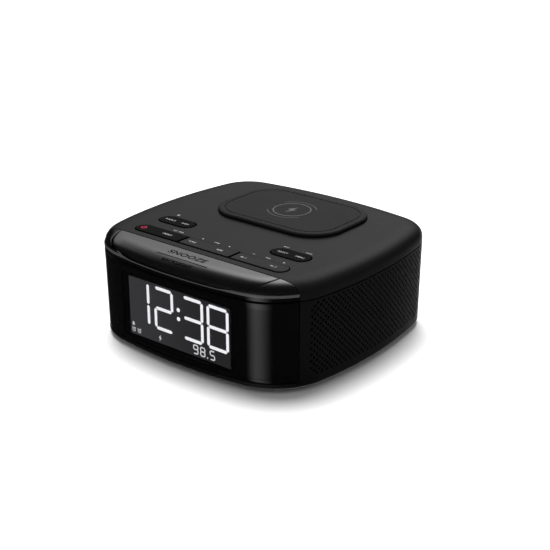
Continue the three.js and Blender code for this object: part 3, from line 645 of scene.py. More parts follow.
def build_cover():
    outer = loft("top_cover_shell", [(0.5, Z_SEAM + 0.2), (0.12, 55.98), (0.0, 56.3), (0.0, 56.7)] + shoulder_levels())
    inner = loft("cover_hollow", [(2.2, Z_SEAM - 2), (2.2, 57.0)] + [(i, z) for i, z in shoulder_levels(2.2, -2.2)[1:]], n=120)
    boolean(outer, inner)
    boolean(outer, prism("front_cut", [(-120, -140), (120, -140), (120, PART_Y + 0.15), (-120, PART_Y + 0.15)], 40, 90))
    web = loft("cover_web", [(0.6, Z_SEAM + 0.15)] + shoulder_levels(0.6, -0.6, 8), n=160)
    boolean(web, prism("w1", [(-120, PART_Y + 0.16), (120, PART_Y + 0.16), (120, PART_Y + 1.8), (-120, PART_Y + 1.8)], 40, 90), "INTERSECT")
    boolean(outer, web, "UNION")
    boolean(outer, prism("k", key_row(-KEY_X, KEY_X, 0.5, True, True), 50, 90))
    for x in (-PILL["x"], PILL["x"]):
        boolean(outer, prism("p", clean(rounded_rect(PILL["w"] + 1.0, PILL["d"] + 1.0, PILL["d"] / 2 + 0.49, 16, x, PILL["y"])), 50, 90))
    boolean(outer, prism("s", clean(rounded_rect(PAD["w"] + 0.6, PAD["d"] + 0.6, PAD["r"] + 0.3, 24, 0, PAD["y"])), Z_TOP - 0.8, 90))
    for m in (M_COVER,):
        outer.data.materials.append(m)
    for f in outer.data.polygons:
        f.use_smooth = True
    outer.data.set_sharp_from_angle(angle=math.radians(60))
    finish_edges(outer, 0.22, 2)
    return outer


cover = build_cover()
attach(cover, "case"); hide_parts("top_cover")


# ------------------------------------------------------------------ front lens with the display window
WIN = (-44.0, 44.0, 8.6, 50.5)


def build_lens():
    b = Build()
    u1 = U_PART - 0.15
    uw = [-u_where(lambda p: p[0] > -WIN[0], 0, ARC_END[1]), u_where(lambda p: p[0] > WIN[1], 0, ARC_END[1])]
    us = sorted(list(np.linspace(-u1 + 0.5, uw[0], 60)) + list(np.linspace(uw[0], uw[1], 60))[1:] + list(np.linspace(uw[1], u1 - 0.5, 60))[1:])
    z0, z1 = 6.4, 55.36
    zs = [7.0] + [9.0] + [WIN[2]] + list(np.linspace(WIN[2], WIN[3], 14))[1:] + [51.0, 54.76]
    r = 0.6
    loops = []
    prof = []
    for k in range(6):
        a = math.pi / 2 * k / 5
        prof.append((r * (1 - math.sin(a)), z0 + r * (1 - math.cos(a))))
    outer = prof[:-1] + [(0, z) for z in zs] + [(r * (1 - math.cos(math.pi / 2 * k / 5)), z1 - r + r * math.sin(math.pi / 2 * k / 5)) for k in range(1, 6)]
    inner = [(1.8, z1), (2.0, z1 - 0.2)] + [(2.0, z) for z in zs[::-1]] + [(2.0, z0 + 0.2), (1.8, z0)]
    ring = outer + inner
    n = len(ring)
    n_out = len(outer)
    cols = []
    end_u = [(-u1, 0.6), (-u1 + 0.1, 0.25), (-u1 + 0.25, 0.08)] + [(u, 0.0) for u in us] + [(u1 - 0.25, 0.08), (u1 - 0.1, 0.25), (u1, 0.6)]
    for u, pull in end_u:
        base = len(b.v)
        for i, (ins, z) in enumerate(ring):
            extra = max(ins, pull) if i < n_out else ins - min(pull, 0.2)
            b.v.append(wall_point(u, z, 0, lean(z) + extra))
        cols.append(base)
    for c in range(len(cols) - 1):
        uc = (end_u[c][0] + end_u[c + 1][0]) / 2
        for i in range(n):
            j = (i + 1) % n
            z = (ring[i][1] + ring[j][1]) / 2
            in_win = uw[0] < uc < uw[1] and WIN[2] < z < WIN[3] and ((i < n_out - 1) or (n_out <= i < n - 1))
            b.f.append((cols[c] + i, cols[c + 1] + i, cols[c + 1] + j, cols[c] + j)); b.m.append(1 if in_win else 0)
    b.f.append(tuple(cols[0] + i for i in range(n))); b.m.append(0)
    b.f.append(tuple(cols[-1] + i for i in range(n))[::-1]); b.m.append(0)
    return b.done("front_lens_shell", [M_GLOSS, M_WINDOW], sharp=30)


lens = build_lens()
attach(lens, "case"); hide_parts("front_lens")

# ------------------------------------------------------------------ display behind the lens
px0, px1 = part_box("display_panel")
FACE_Y = px0.y / MM - 0.04


def plate(name, polys, y, thick, mats, mat_index=None):
    """Flat pieces standing in the X-Z plane, facing -Y."""
    b = Build()
    for q, poly in enumerate(polys):
        poly = clean(poly, 0.005)
        area = 0.5 * sum(poly[i][0] * poly[(i + 1) % len(poly)][1] - poly[(i + 1) % len(poly)][0] * poly[i][1] for i in range(len(poly)))
        if area < 0:
            poly = poly[::-1]
        f = [(x, y - thick, z) for x, z in poly]
        r = [(x, y, z) for x, z in poly]
        k = mat_index[q] if mat_index else 0
        b.rows([r, f], closed=True, mat=k); b.poly(f, k); b.poly(r[::-1], k)
    return b.done(name, mats, merge=0, sharp=30)


# the display cell face carries the painted glow
cell = plate(
    "display_cell_face", [rounded_rect(79.0, 37.2, 0.6, 4, 0.6, 28.8)], FACE_Y + 0.02, 0.05, [M_LCD_PAINTED_GLOW])
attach(cell, "case")


def seg_bar(x0, z0, x1, z1, w, cut=0.5):
    """One segment from end to end: a bar with pointed ends."""
    d = np.array([x1 - x0, z1 - z0], float)
    L = np.hypot(*d); d /= L
    n = np.array([-d[1], d[0]])
    a, b = np.array([x0, z0]), np.array([x1, z1])
    h = w / 2
    t = h * cut
    return [tuple(q) for q in (a + d * 0, a + d * h * 0.85 - n * h, b - d * h * 0.85 - n * h, b, b - d * h * 0.85 + n * h, a + d * h * 0.85 + n * h)]


SEGS = {"0": "abcdef", "1": "bc", "2": "abged", "3": "abgcd", "4": "fgbc", "5": "afgcd", "6": "afgedc", "7": "abc", "8": "abcdefg", "9": "abfgcd"}


def digit(ch, x0, x1, z0, z1, w, gap):
    zm = (z0 + z1) / 2
    l, r, t, bt = x0 + w / 2, x1 - w / 2, z1 - w / 2, z0 + w / 2
    s = {"a": (l, t, r, t), "g": (l, zm, r, zm), "d": (l, bt, r, bt), "f": (l, zm, l, t), "b": (r, zm, r, t), "e": (l, bt, l, zm), "c": (r, bt, r, zm)}
    out = []
    for k in SEGS[ch]:
        xa, za, xb, zb = s[k]
        d = np.array([xb - xa, zb - za], float); d /= np.hypot(*d)
        xa, za = np.array([xa, za]) + d * gap; xb, zb = np.array([xb, zb]) - d * gap
        out.append(seg_bar(xa, za, xb, zb, w))
    return out


def disc(x, z, r, n=20):
    return [(x + r * math.cos(2 * math.pi * k / n), z + r * math.sin(2 * math.pi * k / n)) for k in range(n)]


def ring_polys(x, z, r0, r1, n=24, a0=0.0, a1=2 * math.pi):
    out = []
    for k in range(n):
        p, q = a0 + (a1 - a0) * k / n, a0 + (a1 - a0) * (k + 1) / n
        out.append([(x + r0 * math.cos(p), z + r0 * math.sin(p)), (x + r1 * math.cos(p), z + r1 * math.sin(p)), (x + r1 * math.cos(q), z + r1 * math.sin(q)), (x + r0 * math.cos(q), z + r0 * math.sin(q))])
    return out


def stroke(x0, z0, x1, z1, w):
    d = np.array([x1 - x0, z1 - z0], float); d /= np.hypot(*d); n = np.array([-d[1], d[0]]) * w / 2
    a, b = np.array([x0, z0]), np.array([x1, z1])
    return [tuple(a - n), tuple(b - n), tuple(b + n), tuple(a + n)]


def bolt(x, z, h):
    s = h / 3.0
    return [(x + s * px, z + s * pz) for px, pz in ((0.35, 1.5), (-0.75, -0.15), (-0.05, -0.15), (-0.35, -1.5), (0.75, 0.2), (0.05, 0.2))]


DX = 1.05
time_polys = []
zt, zb, SW = 46.2, 18.8, 2.0
time_polys += [seg_bar(-24.4 + DX, 33.1, -24.4 + DX, 45.7, SW), seg_bar(-24.4 + DX, 20.1, -24.4 + DX, 32.5, SW)]
time_polys += digit("2", -19.6 + DX, -4.3 + DX, zb, zt, SW, 0.32)
time_polys += digit("3", 2.8 + DX, 19.0 + DX, zb, zt, SW, 0.32)
time_polys += digit("8", 21.7 + DX, 38.05 + DX, zb, zt, SW, 0.32)
time_polys += [disc(-0.3 + DX, 35.9, 1.3), disc(-0.3 + DX, 30.2, 1.3)]
digits = plate("display_digits", time_polys, FACE_Y - 0.035, 0.06, [M_DIGIT])
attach(digits, "case")

small = []
for ch, x in (("9", 10.6), ("8", 16.0), ("5", 23.4)):
    small += digit(ch, x + DX, x + DX + 4.0, 11.6, 17.7, 0.78, 0.08)
small += [disc(21.6 + DX, 12.0, 0.45, 12)]
small += [bolt(-15.75 + DX, 13.6, 4.4)]
for cx in (-37.5 + DX, -32.9 + DX):  # alarm clocks
    small += ring_polys(cx, 13.0, 0.95, 1.3)
    small += [stroke(cx, 13.0, cx, 13.7, 0.26), stroke(cx, 13.0, cx + 0.5, 13.0, 0.26), stroke(cx - 1.5, 14.1, cx - 0.85, 14.7, 0.34), stroke(cx + 0.85, 14.7, cx + 1.5, 14.1, 0.34)]
cx, cz = -37.6 + DX, 17.1  # a bell
small += [[(cx - 1.15, cz - 0.9), (cx + 1.15, cz - 0.9), (cx + 0.7, cz - 0.3), (cx + 0.6, cz + 0.7), (cx + 0.3, cz + 1.1), (cx - 0.3, cz + 1.1), (cx - 0.6, cz + 0.7), (cx - 0.7, cz - 0.3)], disc(cx, cz - 1.2, 0.3, 10)]
icons = plate("display_icons", small, FACE_Y - 0.035, 0.06, [M_ICON])
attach(icons, "case")

# ------------------------------------------------------------------ snooze bar
BAR_HALF = [(61.3, PART_Y - 0.3), (61.1, -61), (60.3, -64), (58.9, -68), (57.2, -71.2), (54.6, -74), (51.0, -76.0)]


def smooth_chain(pts, n):
    """Catmull-Rom through points."""
    p = np.array(pts, float)
    p = np.vstack([2 * p[0] - p[1], p, 2 * p[-1] - p[-2]])
    out = []
    m = len(pts) - 1
    for k in range(n + 1):
        t = m * k / n
        i = min(int(t), m - 1)
        f = t - i
        a, b, c, d = p[i:i + 4]
        out.append(0.5 * ((2 * b) + (c - a) * f + (2 * a - 5 * b + 4 * c - d) * f * f + (3 * b - a - 3 * c + d) * f ** 3))
    return np.array(out)


def bar_edge(grow=0.0, ends=0.0):
    """Front and end edge of the snooze bar in plan, from its left rear corner round to its right rear corner."""
    R, cy = FRONT_BOW - SNOOZE_INSET, -HALF_D + FRONT_BOW
    front = [(x, cy - math.sqrt(R * R - x * x)) for x in (46, 40)]
    half = smooth_chain([(x, y) for x, y in BAR_HALF] + front, 46)
    mid = [(x, cy - math.sqrt(R * R - x * x)) for x in np.linspace(40, -40, 70)[1:-1]]
    right = [tuple(q) for q in half]
    line = [(-x, y) for x, y in right] + [(x, y) for x, y in mid[::-1]] + right[::-1]
    p = np.array(line)
    if grow:
        t = np.gradient(p, axis=0)
        t /= np.hypot(t[:, 0], t[:, 1])[:, None]
        out = np.stack([t[:, 1], -t[:, 0]], 1)
        g = grow + ends * np.clip((np.abs(p[:, 0]) - 50) / 6, 0, 1)
        p = p + out * g[:, None]
    return p


def build_bar():
    b = Build()
    edge = bar_edge()
    t = np.gradient(edge, axis=0)
    t /= np.hypot(t[:, 0], t[:, 1])[:, None]
    inward = np.stack([-t[:, 1], t[:, 0]], 1)
    y_r = PART_Y - 0.3
    rr = [0.5 + 0.2 * float(np.clip((abs(x) - 47) / 8, 0, 1)) for x, _ in edge]
    rows = []
    low = 57.6

    def low_rear(x):  # the rear wall stays clear of the key board's tongue
        return 60.1 if abs(x) < 41 else low

    rows.append([(x + nx * 0.3, y + ny * 0.3, low) for (x, y), (nx, ny) in zip(edge, inward)])
    rows.append([(x, y, low + 0.3) for x, y in edge])
    for k in range(0, 7):
        a = math.pi / 2 * k / 6
        row = []
        for (x, y), (nx, ny), r in zip(edge, inward, rr):
            d = r * (1 - math.cos(a))
            X, Y = x + nx * d, min(y + ny * d, y_r - 0.02)
            row.append((X, Y, max(low + 0.35, bar_height(X, Y) - r * (1 - math.sin(a)) * 0.8 - (r - 0.5) * 0.5)))
        rows.append(row)
    start = rows[-1]
    end_drop = [(r - 0.5) * 0.5 for r in rr]
    # across the top to the rear edge
    n_in = 26
    ends = [(float(np.clip(x, -60.75, 60.75)), y_r - 0.45) for x, _ in edge]
    for k in range(1, n_in + 1):
        f = (k / n_in) ** 0.85
        row = []
        for (sx, sy, _), (ex, ey) in zip(start, ends):
            X, Y = sx + (ex - sx) * f, sy + (ey - sy) * f
            if ey < sy:
                Y = sy
            settle = max(0.0, 1 - k / n_in / 0.12)
            row.append((X, Y, bar_height(X, Y) - end_drop[len(row)] * settle ** 2))
        rows.append(row)
    last = rows[-1]
    for dy, dz in ((0.15, 0.02), (0.3, 0.09), (0.41, 0.22), (0.45, 0.42)):
        rows.append([(x, min(y + dy, y_r), z - dz) for x, y, z in last])
    rows.append([(x, y_r, low_rear(x) + 0.3) for x, y, z in last])
    rows.append([(x, y_r - 0.3, low_rear(x)) for x, y, z in last])
    b.rows(rows)
    # inner skin
    inner = []
    n_sk = 10
    off = [(x + nx * 1.8, y + ny * 1.8) for (x, y), (nx, ny) in zip(edge, inward)]
    for k in range(n_sk + 1):
        f = k / n_sk
        row = []
        for (sx, sy), (ex, ey) in zip(off, ends):
            ex2, ey2 = float(np.clip(ex, -59.3, 59.3)), y_r - 1.6
            X, Y = float(np.clip(sx, -59.3, 59.3)) * (1 - f) + ex2 * f, min(sy, ey2) * (1 - f) + ey2 * f
            row.append((X, Y, bar_height(X, Y) - 1.8))
        inner.append(row)
    b.rows([[(x, y, low) for x, y, _ in inner[0]]] + inner + [[(x, y, low_rear(x)) for x, y, _ in inner[-1]]])
    b.rows([rows[0], [(x, y, low) for x, y, _ in inner[0]]])
    b.rows([rows[-1], [(x, y, low_rear(x)) for x, y, _ in inner[-1]]])
    for px in (-24.0, 24.0):  # plungers over the two switches
        ring = [(px + 1.7 * math.cos(math.radians(a)), -65.5 + 1.7 * math.sin(math.radians(a))) for a in range(0, 360, 20)]
        b.rows([[(x, y, bar_height(x, y) - 1.7) for x, y in ring], [(x, y, 60.5) for x, y in ring], [(px + (x - px) * 0.8, -65.5 + (y + 65.5) * 0.8, 60.15) for x, y in ring]][::-1], closed=True)
        b.poly([(px + (x - px) * 0.8, -65.5 + (y + 65.5) * 0.8, 60.15) for x, y in ring][::-1])
    return b.done("snooze_bar_shell", [M_SNOOZE], sharp=34)


bar = build_bar()
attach(bar, "snooze"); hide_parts("snooze_bar")


# ------------------------------------------------------------------ gloss band with the crescents
def clip_height(x):
    xs = [0, 34, 40, 46.4, 52.2, 55.5, 57.6, 59.3, 61, 62.5, 64, 80]
    zs = [Z_LIP, Z_LIP, 59.5, 60.7, 62.1, 63.2, 64.2, 65.2, 66.4, 68.5, 72, 80]
    return float(np.interp(abs(x), xs, zs))


def build_trim():
    b = Build()
    y_p = PART_Y - 0.15
    edge = bar_edge(0.3, 0.15)
    seg_a, seg_b = edge[:-1], edge[1:]
    u_end = u_where(lambda p: p[1] > y_p, 20, ARC_END[1])
    us = list(np.linspace(0, 40, 44)) + list(np.linspace(40, u_end - 0.02, 120))[1:]
    us = [-u for u in us[::-1]] + us[1:]

    def reach(u):
        p, n = rim(u)
        best = (y_p - p[1]) / n[1] if n[1] > 1e-6 else 99
        # where the inward line meets the snooze bar's edge
        d = seg_b - seg_a
        den = n[0] * d[:, 1] - n[1] * d[:, 0]
        with np.errstate(divide="ignore", invalid="ignore"):
            w = seg_a - p
            s = (w[:, 0] * d[:, 1] - w[:, 1] * d[:, 0]) / den
            q = (w[:, 0] * n[1] - w[:, 1] * n[0]) / den
        ok = (q >= 0) & (q <= 1) & (s > 0.3)
        if ok.any():
            best = min(best, float(s[ok].min()))
        return best

    def height(i, x):
        z, c = dome(i), clip_height(x)
        k = 0.35  # the edge of the lip is slightly rounded
        h = max(0.0, min(1.0, 0.5 + 0.5 * (z - c) / k))
        return z * (1 - h) + c * h - k * h * (1 - h)

    BEV = 0.24
    fr = [0.0, 0.12, 0.25, 0.4, 0.55, 0.7, 0.82, 0.9, 0.95, 0.98, 1.0]
    low = [(0.5, Z_SEAM + 0.3), (0.16, Z_SEAM + 0.36), (0.0, Z_SEAM + 0.6), (0.0, 57.0), (0.0, Z_LIP - BEV - 0.05)]
    rows = [[] for _ in range(len(low) + len(fr) + 3)]
    spans = np.array([reach(u) for u in us])
    pad = np.pad(spans, 3, mode="edge")
    calm = np.median(np.stack([pad[k:k + len(spans)] for k in range(7)]), axis=0)
    pad = np.pad(calm, 2, mode="edge")
    calm = sum(w * pad[k:k + len(spans)] for k, w in enumerate((0.1, 0.2, 0.4, 0.2, 0.1)))
    spans = np.where(spans < 3.0, np.minimum(calm, spans + 0.15), spans)
    for u, e in zip(us, spans):
        p, n = rim(u)
        e = float(e)
        x0 = p[0]
        col = list(low)
        # past the lip's ends the bevel runs on along the dome's own edge
        for f in fr:
            i = BEV + (e - BEV) * f
            q = p + n * i
            drop = 0.14 * ((f - 0.9) / 0.1) ** 2 if f > 0.9 else 0.0
            col.append((i, max(height(i, q[0]), Z_LIP) - drop))
        col.append((e, 57.2)); col.append((e, 56.7)); col.append((min(e, 6.0) if e > 6 else e, 56.7))
        for r_i, (i, z) in enumerate(col):
            q = p + n * i
            rows[r_i].append((q[0], q[1], z))
    k0 = len(low) - 1
    b.rows(rows[:k0 + 1])
    # the lip's edge strip takes the painted highlight material
    b.rows(rows[k0:k0 + 2], mat=1)
    b.rows(rows[k0 + 1:])
    # ledge under the bar and the foot that stands on the frame
    ledge = [(1.1, 56.7), (6.5, 56.7), (6.5, 56.2), (4.5, 56.0), (4.5, 54.2), (2.75, 54.2), (2.75, 55.9), (0.5, Z_SEAM + 0.3)]
    us2 = [u for u in us if abs(u) < u_end - 7]
    b.rows([[(*(lambda p, n: p + n * i)(*rim(u)), z) for u in us2] for i, z in ledge])
    # painted reflection: top faces on the right half of the band take the lighter satin metal of the snooze bar, so the
    # right crescent shows lighter while the left stays gloss black
    for q, face in enumerate(b.f):
        mid = [sum(b.v[k][a] for k in face) / len(face) for a in range(3)]
        if mid[0] > 0 and mid[2] > Z_LIP - 0.2 and b.m[q] == 0:
            b.m[q] = 2
    return b.done("front_band", [M_GLOSS, M_LIP_PAINTED_HIGHLIGHT, M_SNOOZE], sharp=20)


trim = build_trim()
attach(trim, "case"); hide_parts("front_top_trim")

# ------------------------------------------------------------------ keys
KEYS = {
    "key_power_preset": (-KEY_X, KEY_SPLIT[0] - 0.25, True, False),
    "key_tuning": (KEY_SPLIT[0] + 0.25, KEY_SPLIT[1] - 0.25, False, False),
    "key_alarm": (KEY_SPLIT[1] + 0.25, KEY_X, False, True),
}
Y_KEY = (KEY_Y[0] + KEY_Y[1]) / 2
# the power key's cap uses the darker key plastic, which is painted shade
for node, (x0, x1, l, r) in KEYS.items():
    ea, eb = (0.0 if l else 0.42), (0.0 if r else 0.42)
    outline = lambda d, x0=x0 + ea, x1=x1 - eb, l=l, r=r: key_row(x0, x1, -0.15 - d, l, r)
    ob = cap(node + "_cap", outline, 61.0, KEY_TOP - 0.12, 0.45, [M_KEY_PAINTED_SHADE if node == "key_power_preset" else M_KEY], dish=0.12, slope=0.012, y_mid=Y_KEY)
    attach(ob, node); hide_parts(node)
# the pills' caps use the darker key plastic, which is painted shade
for node, x in (("key_source_sleep", -PILL["x"]), ("key_select_menu", PILL["x"])):
    outline = lambda d, x=x: rounded_rect(PILL["w"] - 0.3 - 2 * d, PILL["d"] - 0.3 - 2 * d, PILL["d"] / 2 - 0.16 - d, 16, x, PILL["y"])
    ob = cap(node + "_cap", outline, 61.0, KEY_TOP - 0.12, 0.5, [M_KEY_PAINTED_SHADE], dish=0.25, slope=0.012, y_mid=PILL["y"])
    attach(ob, node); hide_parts(node)


def key_top(y_mid, dish=0.12):
    return lambda x, y: KEY_TOP - 0.12 - dish - 0.012 * (y - y_mid)


# ------------------------------------------------------------------ print
def words(name, text, x, y, size, surface, mat, body, lift=0.03, spacing=1.0, width=None, facing="top", bold=0.0):
    cu = bpy.data.curves.new(name, "FONT")
    cu.body, cu.size, cu.space_character = text, size, spacing
    cu.align_x, cu.align_y = "CENTER", "CENTER"
    cu.extrude = 0.01
    cu.offset = bold
    cu.resolution_u = 3
    ob = link(bpy.data.objects.new(name + "_tmp", cu))
    bpy.context.view_layer.update()
    me = bpy.data.meshes.new_from_object(ob.evaluated_get(bpy.context.evaluated_depsgraph_get()))
    bpy.data.objects.remove(ob)
    bm = bmesh.new(); bm.from_mesh(me)
    bmesh.ops.triangulate(bm, faces=bm.faces)
    if facing == "top" and callable(surface):
        for _ in range(2):
            long = [e for e in bm.edges if e.calc_length() > 0.9]
            if long:
                bmesh.ops.subdivide_edges(bm, edges=long, cuts=1)
    bm.to_mesh(me); bm.free()
    co = np.array([v.co for v in me.vertices])
    if width:
        co[:, 0] *= width / (co[:, 0].max() - co[:, 0].min())
    out = []
    for vx, vy, vz in co:
        if facing == "top":
            X, Y = x + vx, y + vy
            Z = (surface(X, Y) if callable(surface) else surface) + lift + (0.012 if vz > 0 else -0.012)
        elif facing == "rear":
            X, Z = x - vx, y + vy
            Y = surface + lift + (0.012 if vz > 0 else -0.012)
        out.append((X * MM, Y * MM, Z * MM))
    me.vertices.foreach_set("co", np.array(out, np.float32).ravel())
    me.materials.clear(); me.materials.append(mat)
    me.update()
    ob = link(bpy.data.objects.new(name, me))
    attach(ob, body)
    return ob


def marks_on(name, polys, surface, mat, body, lift=0.03):
    """Flat printed marks lying on a surface, polygons in plan."""
    b = Build()
    h = surface if callable(surface) else (lambda x, y: surface)
    for poly in polys:
        poly = clean(poly, 0.004)
        top = [(x, y, h(x, y) + lift + 0.012) for x, y in poly]
        low = [(x, y, h(x, y) + lift - 0.012) for x, y in poly]
        b.rows([low, top], closed=True); b.poly(top); b.poly(low[::-1])
    ob = b.done(name, [mat], merge=0)
    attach(ob, body)
    return ob


ROW_Y = -47.0
KT = key_top((KEY_Y[0] + KEY_Y[1]) / 2)
KP = key_top(PILL["y"], 0.25)
words("print_snooze", "SNOOZE", 0.0, -66.6, 6.2, bar_height, M_PRINT_DARK, "snooze", width=28.6, spacing=1.05, bold=0.10)
words("print_backlight", "BACKLIGHT", -0.2, -75.7, 2.9, bar_height, M_PRINT_DARK, "snooze", width=23.0, bold=0.05)
line = []
xs = np.linspace(-18.9, 19.8, 40)
for k in range(39):
    yy = lambda x: -71.6
    line.append([(xs[k], -72.2), (xs[k + 1], -72.2), (xs[k + 1], -71.55), (xs[k], -71.55)])
marks_on("snooze_line", line, bar_height, M_PRINT_DARK, "snooze")

power = ring_polys(-53.4, ROW_Y - 1.0, 1.35, 1.95, 24, math.radians(120), math.radians(420)) + [stroke(-53.4, ROW_Y - 0.7, -53.4, ROW_Y + 1.2, 0.6)]
marks_on("print_power", power, KT, M_PRINT_RED, "key_power_preset")
words("print_preset", "PRESET", -33.6, ROW_Y - 1.2, 2.3, KT, M_PRINT, "key_power_preset")
words("print_tune_down", "TUNE", -13.4, ROW_Y - 1.2, 2.3, KT, M_PRINT, "key_tuning")
words("print_tune_up", "SEEK", 8.3, ROW_Y - 1.2, 2.3, KT, M_PRINT, "key_tuning")
words("print_alarm_1", "AL 1", 26.5, ROW_Y - 1.2, 2.3, KT, M_PRINT, "key_alarm")
words("print_alarm_2", "AL 2", 48.4, ROW_Y - 1.2, 2.3, KT, M_PRINT, "key_alarm")
words("print_source", "SOURCE", -50.6, PILL["y"], 2.2, KP, M_PRINT, "key_source_sleep")
words("print_sleep", "SLEEP", -38.4, PILL["y"], 2.2, KP, M_PRINT, "key_source_sleep")
words("print_select", "SELECT", 38.6, PILL["y"], 2.2, KP, M_PRINT, "key_select_menu")
words("print_menu", "MENU", 51.2, PILL["y"], 2.2, KP, M_PRINT, "key_select_menu")
words("print_set_time", "SET  TIME", -32.5, -39.7, 1.9, Z_TOP, M_PRINT, "case")
words("print_hour", "TIME", -1.3, -39.7, 1.9, Z_TOP, M_PRINT, "case")
words("print_vol", "VOL", 37.8, -39.7, 1.9, Z_TOP, M_PRINT, "case")
words("print_info", "INFO", 34.8, -19.3, 1.7, Z_TOP, M_PRINT, "case")
words("print_scan", "SCAN", 51.4, -19.3, 1.7, Z_TOP, M_PRINT, "case")
dots = [disc(-12.3, -39.7, 0.5, 16), disc(8.5, -39.7, 0.5, 16), stroke(26.4, -39.7, 28.0, -39.7, 0.35), stroke(48.5, -39.7, 50.1, -39.7, 0.35), stroke(49.3, -40.5, 49.3, -38.9, 0.35)]
dots += [stroke(-53.9, -17.4, -51.9, -18.5, 0.5), stroke(-52.8, -16.6, -53.4, -18.9, 0.5)]
marks_on("print_marks", dots, Z_TOP, M_PRINT, "case")


# ------------------------------------------------------------------ charging pad
def build_pad():
    plan = clean(rounded_rect(PAD["w"], PAD["d"], PAD["r"], 28, 0, PAD["y"]))
    b = Build()
    top = PAD["top"]
    rows = [[(x, y, Z_TOP - 0.5) for x, y in plan], [(x, y, Z_TOP + 0.3) for x, y in plan]]
    for k in range(8):
        a = math.pi / 2 * k / 7
        q = shrink(plan, 1.5 * (1 - math.cos(a)))
        rows.append([(x, y, top - 1.5 * (1 - math.sin(a))) for x, y in q])
    def groove(d0, depth=0.35, w=0.9):
        for d, dz in ((0, 0), (0.12, -0.1), (0.25, -depth), (w - 0.25, -depth), (w - 0.12, -0.1), (w, 0)):
            q = shrink(plan, d0 + d)
            rows.append([(x, y, top + dz) for x, y in q])
    groove(4.0)
    b.rows(rows, closed=True)
    b.poly(rows[-1]); b.poly(rows[0][::-1])
    return b.done("charging_pad_rubber", [M_RUBBER], sharp=34)


pad = build_pad()
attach(pad, "case"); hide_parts("charging_pad")
sign = ring_polys(0, PAD["y"], 11.6, 12.3, 72) + ring_polys(0, PAD["y"], 15.2, 15.6, 72, math.radians(35), math.radians(145)) + ring_polys(0, PAD["y"], 15.2, 15.6, 72, math.radians(215), math.radians(325)) + [bolt(0, PAD["y"], 12.0)]
marks_on("charge_sign", sign, PAD["top"], plastic("pad_print", (0.09, 0.09, 0.092), rough=0.6, spec=0.3, grain=0.01, mottle=0.05), "case")

# ------------------------------------------------------------------ feet
for k, (x, y) in enumerate(FEET):
    ft = turned(f"foot_pad_{k + 1}", [(0, 0.25), (2.2, 0.25), (2.5, 0.0), (5.2, 0.0), (5.45, 0.2), (5.7, 0.0), (6.3, 0.0), (6.75, 0.15), (7.0, 0.6), (7.0, 2.5), (6.8, 2.8), (0, 2.8)], (x, y, 0), [M_FOOT])
    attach(ft, "case"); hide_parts(f"foot_{k + 1}")

# ------------------------------------------------------------------ sockets
def build_usb():
    lo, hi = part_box("usb_port")
    x0, x1, y0, y1, z0, z1 = lo.x / MM, hi.x / MM, lo.y / MM, hi.y / MM, lo.z / MM, hi.z / MM
    cx, cz, w, h = (x0 + x1) / 2, (z0 + z1) / 2, x1 - x0, z1 - z0
    b = Build()
    o = rounded_rect(w, h, 0.8, 6, cx, cz); o2 = shrink(o, 0.2); i1 = shrink(o, 0.42); i0 = shrink(o, 0.55)
    P = lambda q, y: [(x, y, z) for x, z in q]
    b.rows([P(o, y0), P(o, y1 - 0.15), P(o2, y1), P(i1, y1), P(i0, y1 - 0.25), P(i0, y0 + 2)], closed=True)
    b.poly(P(i0, y0 + 2)); b.poly(P(o, y0))
    ob = b.done("usb_shell", [M_STEEL])
    b = Build()
    tx0, tx1, tz0, tz1 = cx - 5.4, cx + 5.4, cz + 0.4, cz + 2.2
    t = rounded_rect(tx1 - tx0, tz1 - tz0, 0.25, 3, (tx0 + tx1) / 2, (tz0 + tz1) / 2); t2 = shrink(t, 0.3)
    b.rows([P(t, y0 + 2), P(t, y1 - 1.9), P(t2, y1 - 1.6)], closed=True); b.poly(P(t2, y1 - 1.6))
    tongue = b.done("usb_tongue", [plastic("socket_blue", (0.02, 0.02, 0.021), rough=0.5, spec=0.4, grain=0.01, mottle=0.08)])
    pins = Build()
    for k in range(4):
        c = cx + (k - 1.5) * 2.3
        q = [(c - 0.5, tz0 - 0.06), (c + 0.5, tz0 - 0.06), (c + 0.5, tz0), (c - 0.5, tz0)]
        pins.rows([P(q, y0 + 3), P(q, y1 - 2.6)], closed=True); pins.poly(P(q, y1 - 2.6)); pins.poly(P(q, y0 + 3))
    pin = pins.done("usb_contacts", [M_GOLD], merge=0)
    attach(ob, "case"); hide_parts("usb_port")
    for q in (tongue, pin):
        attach(q, "case")


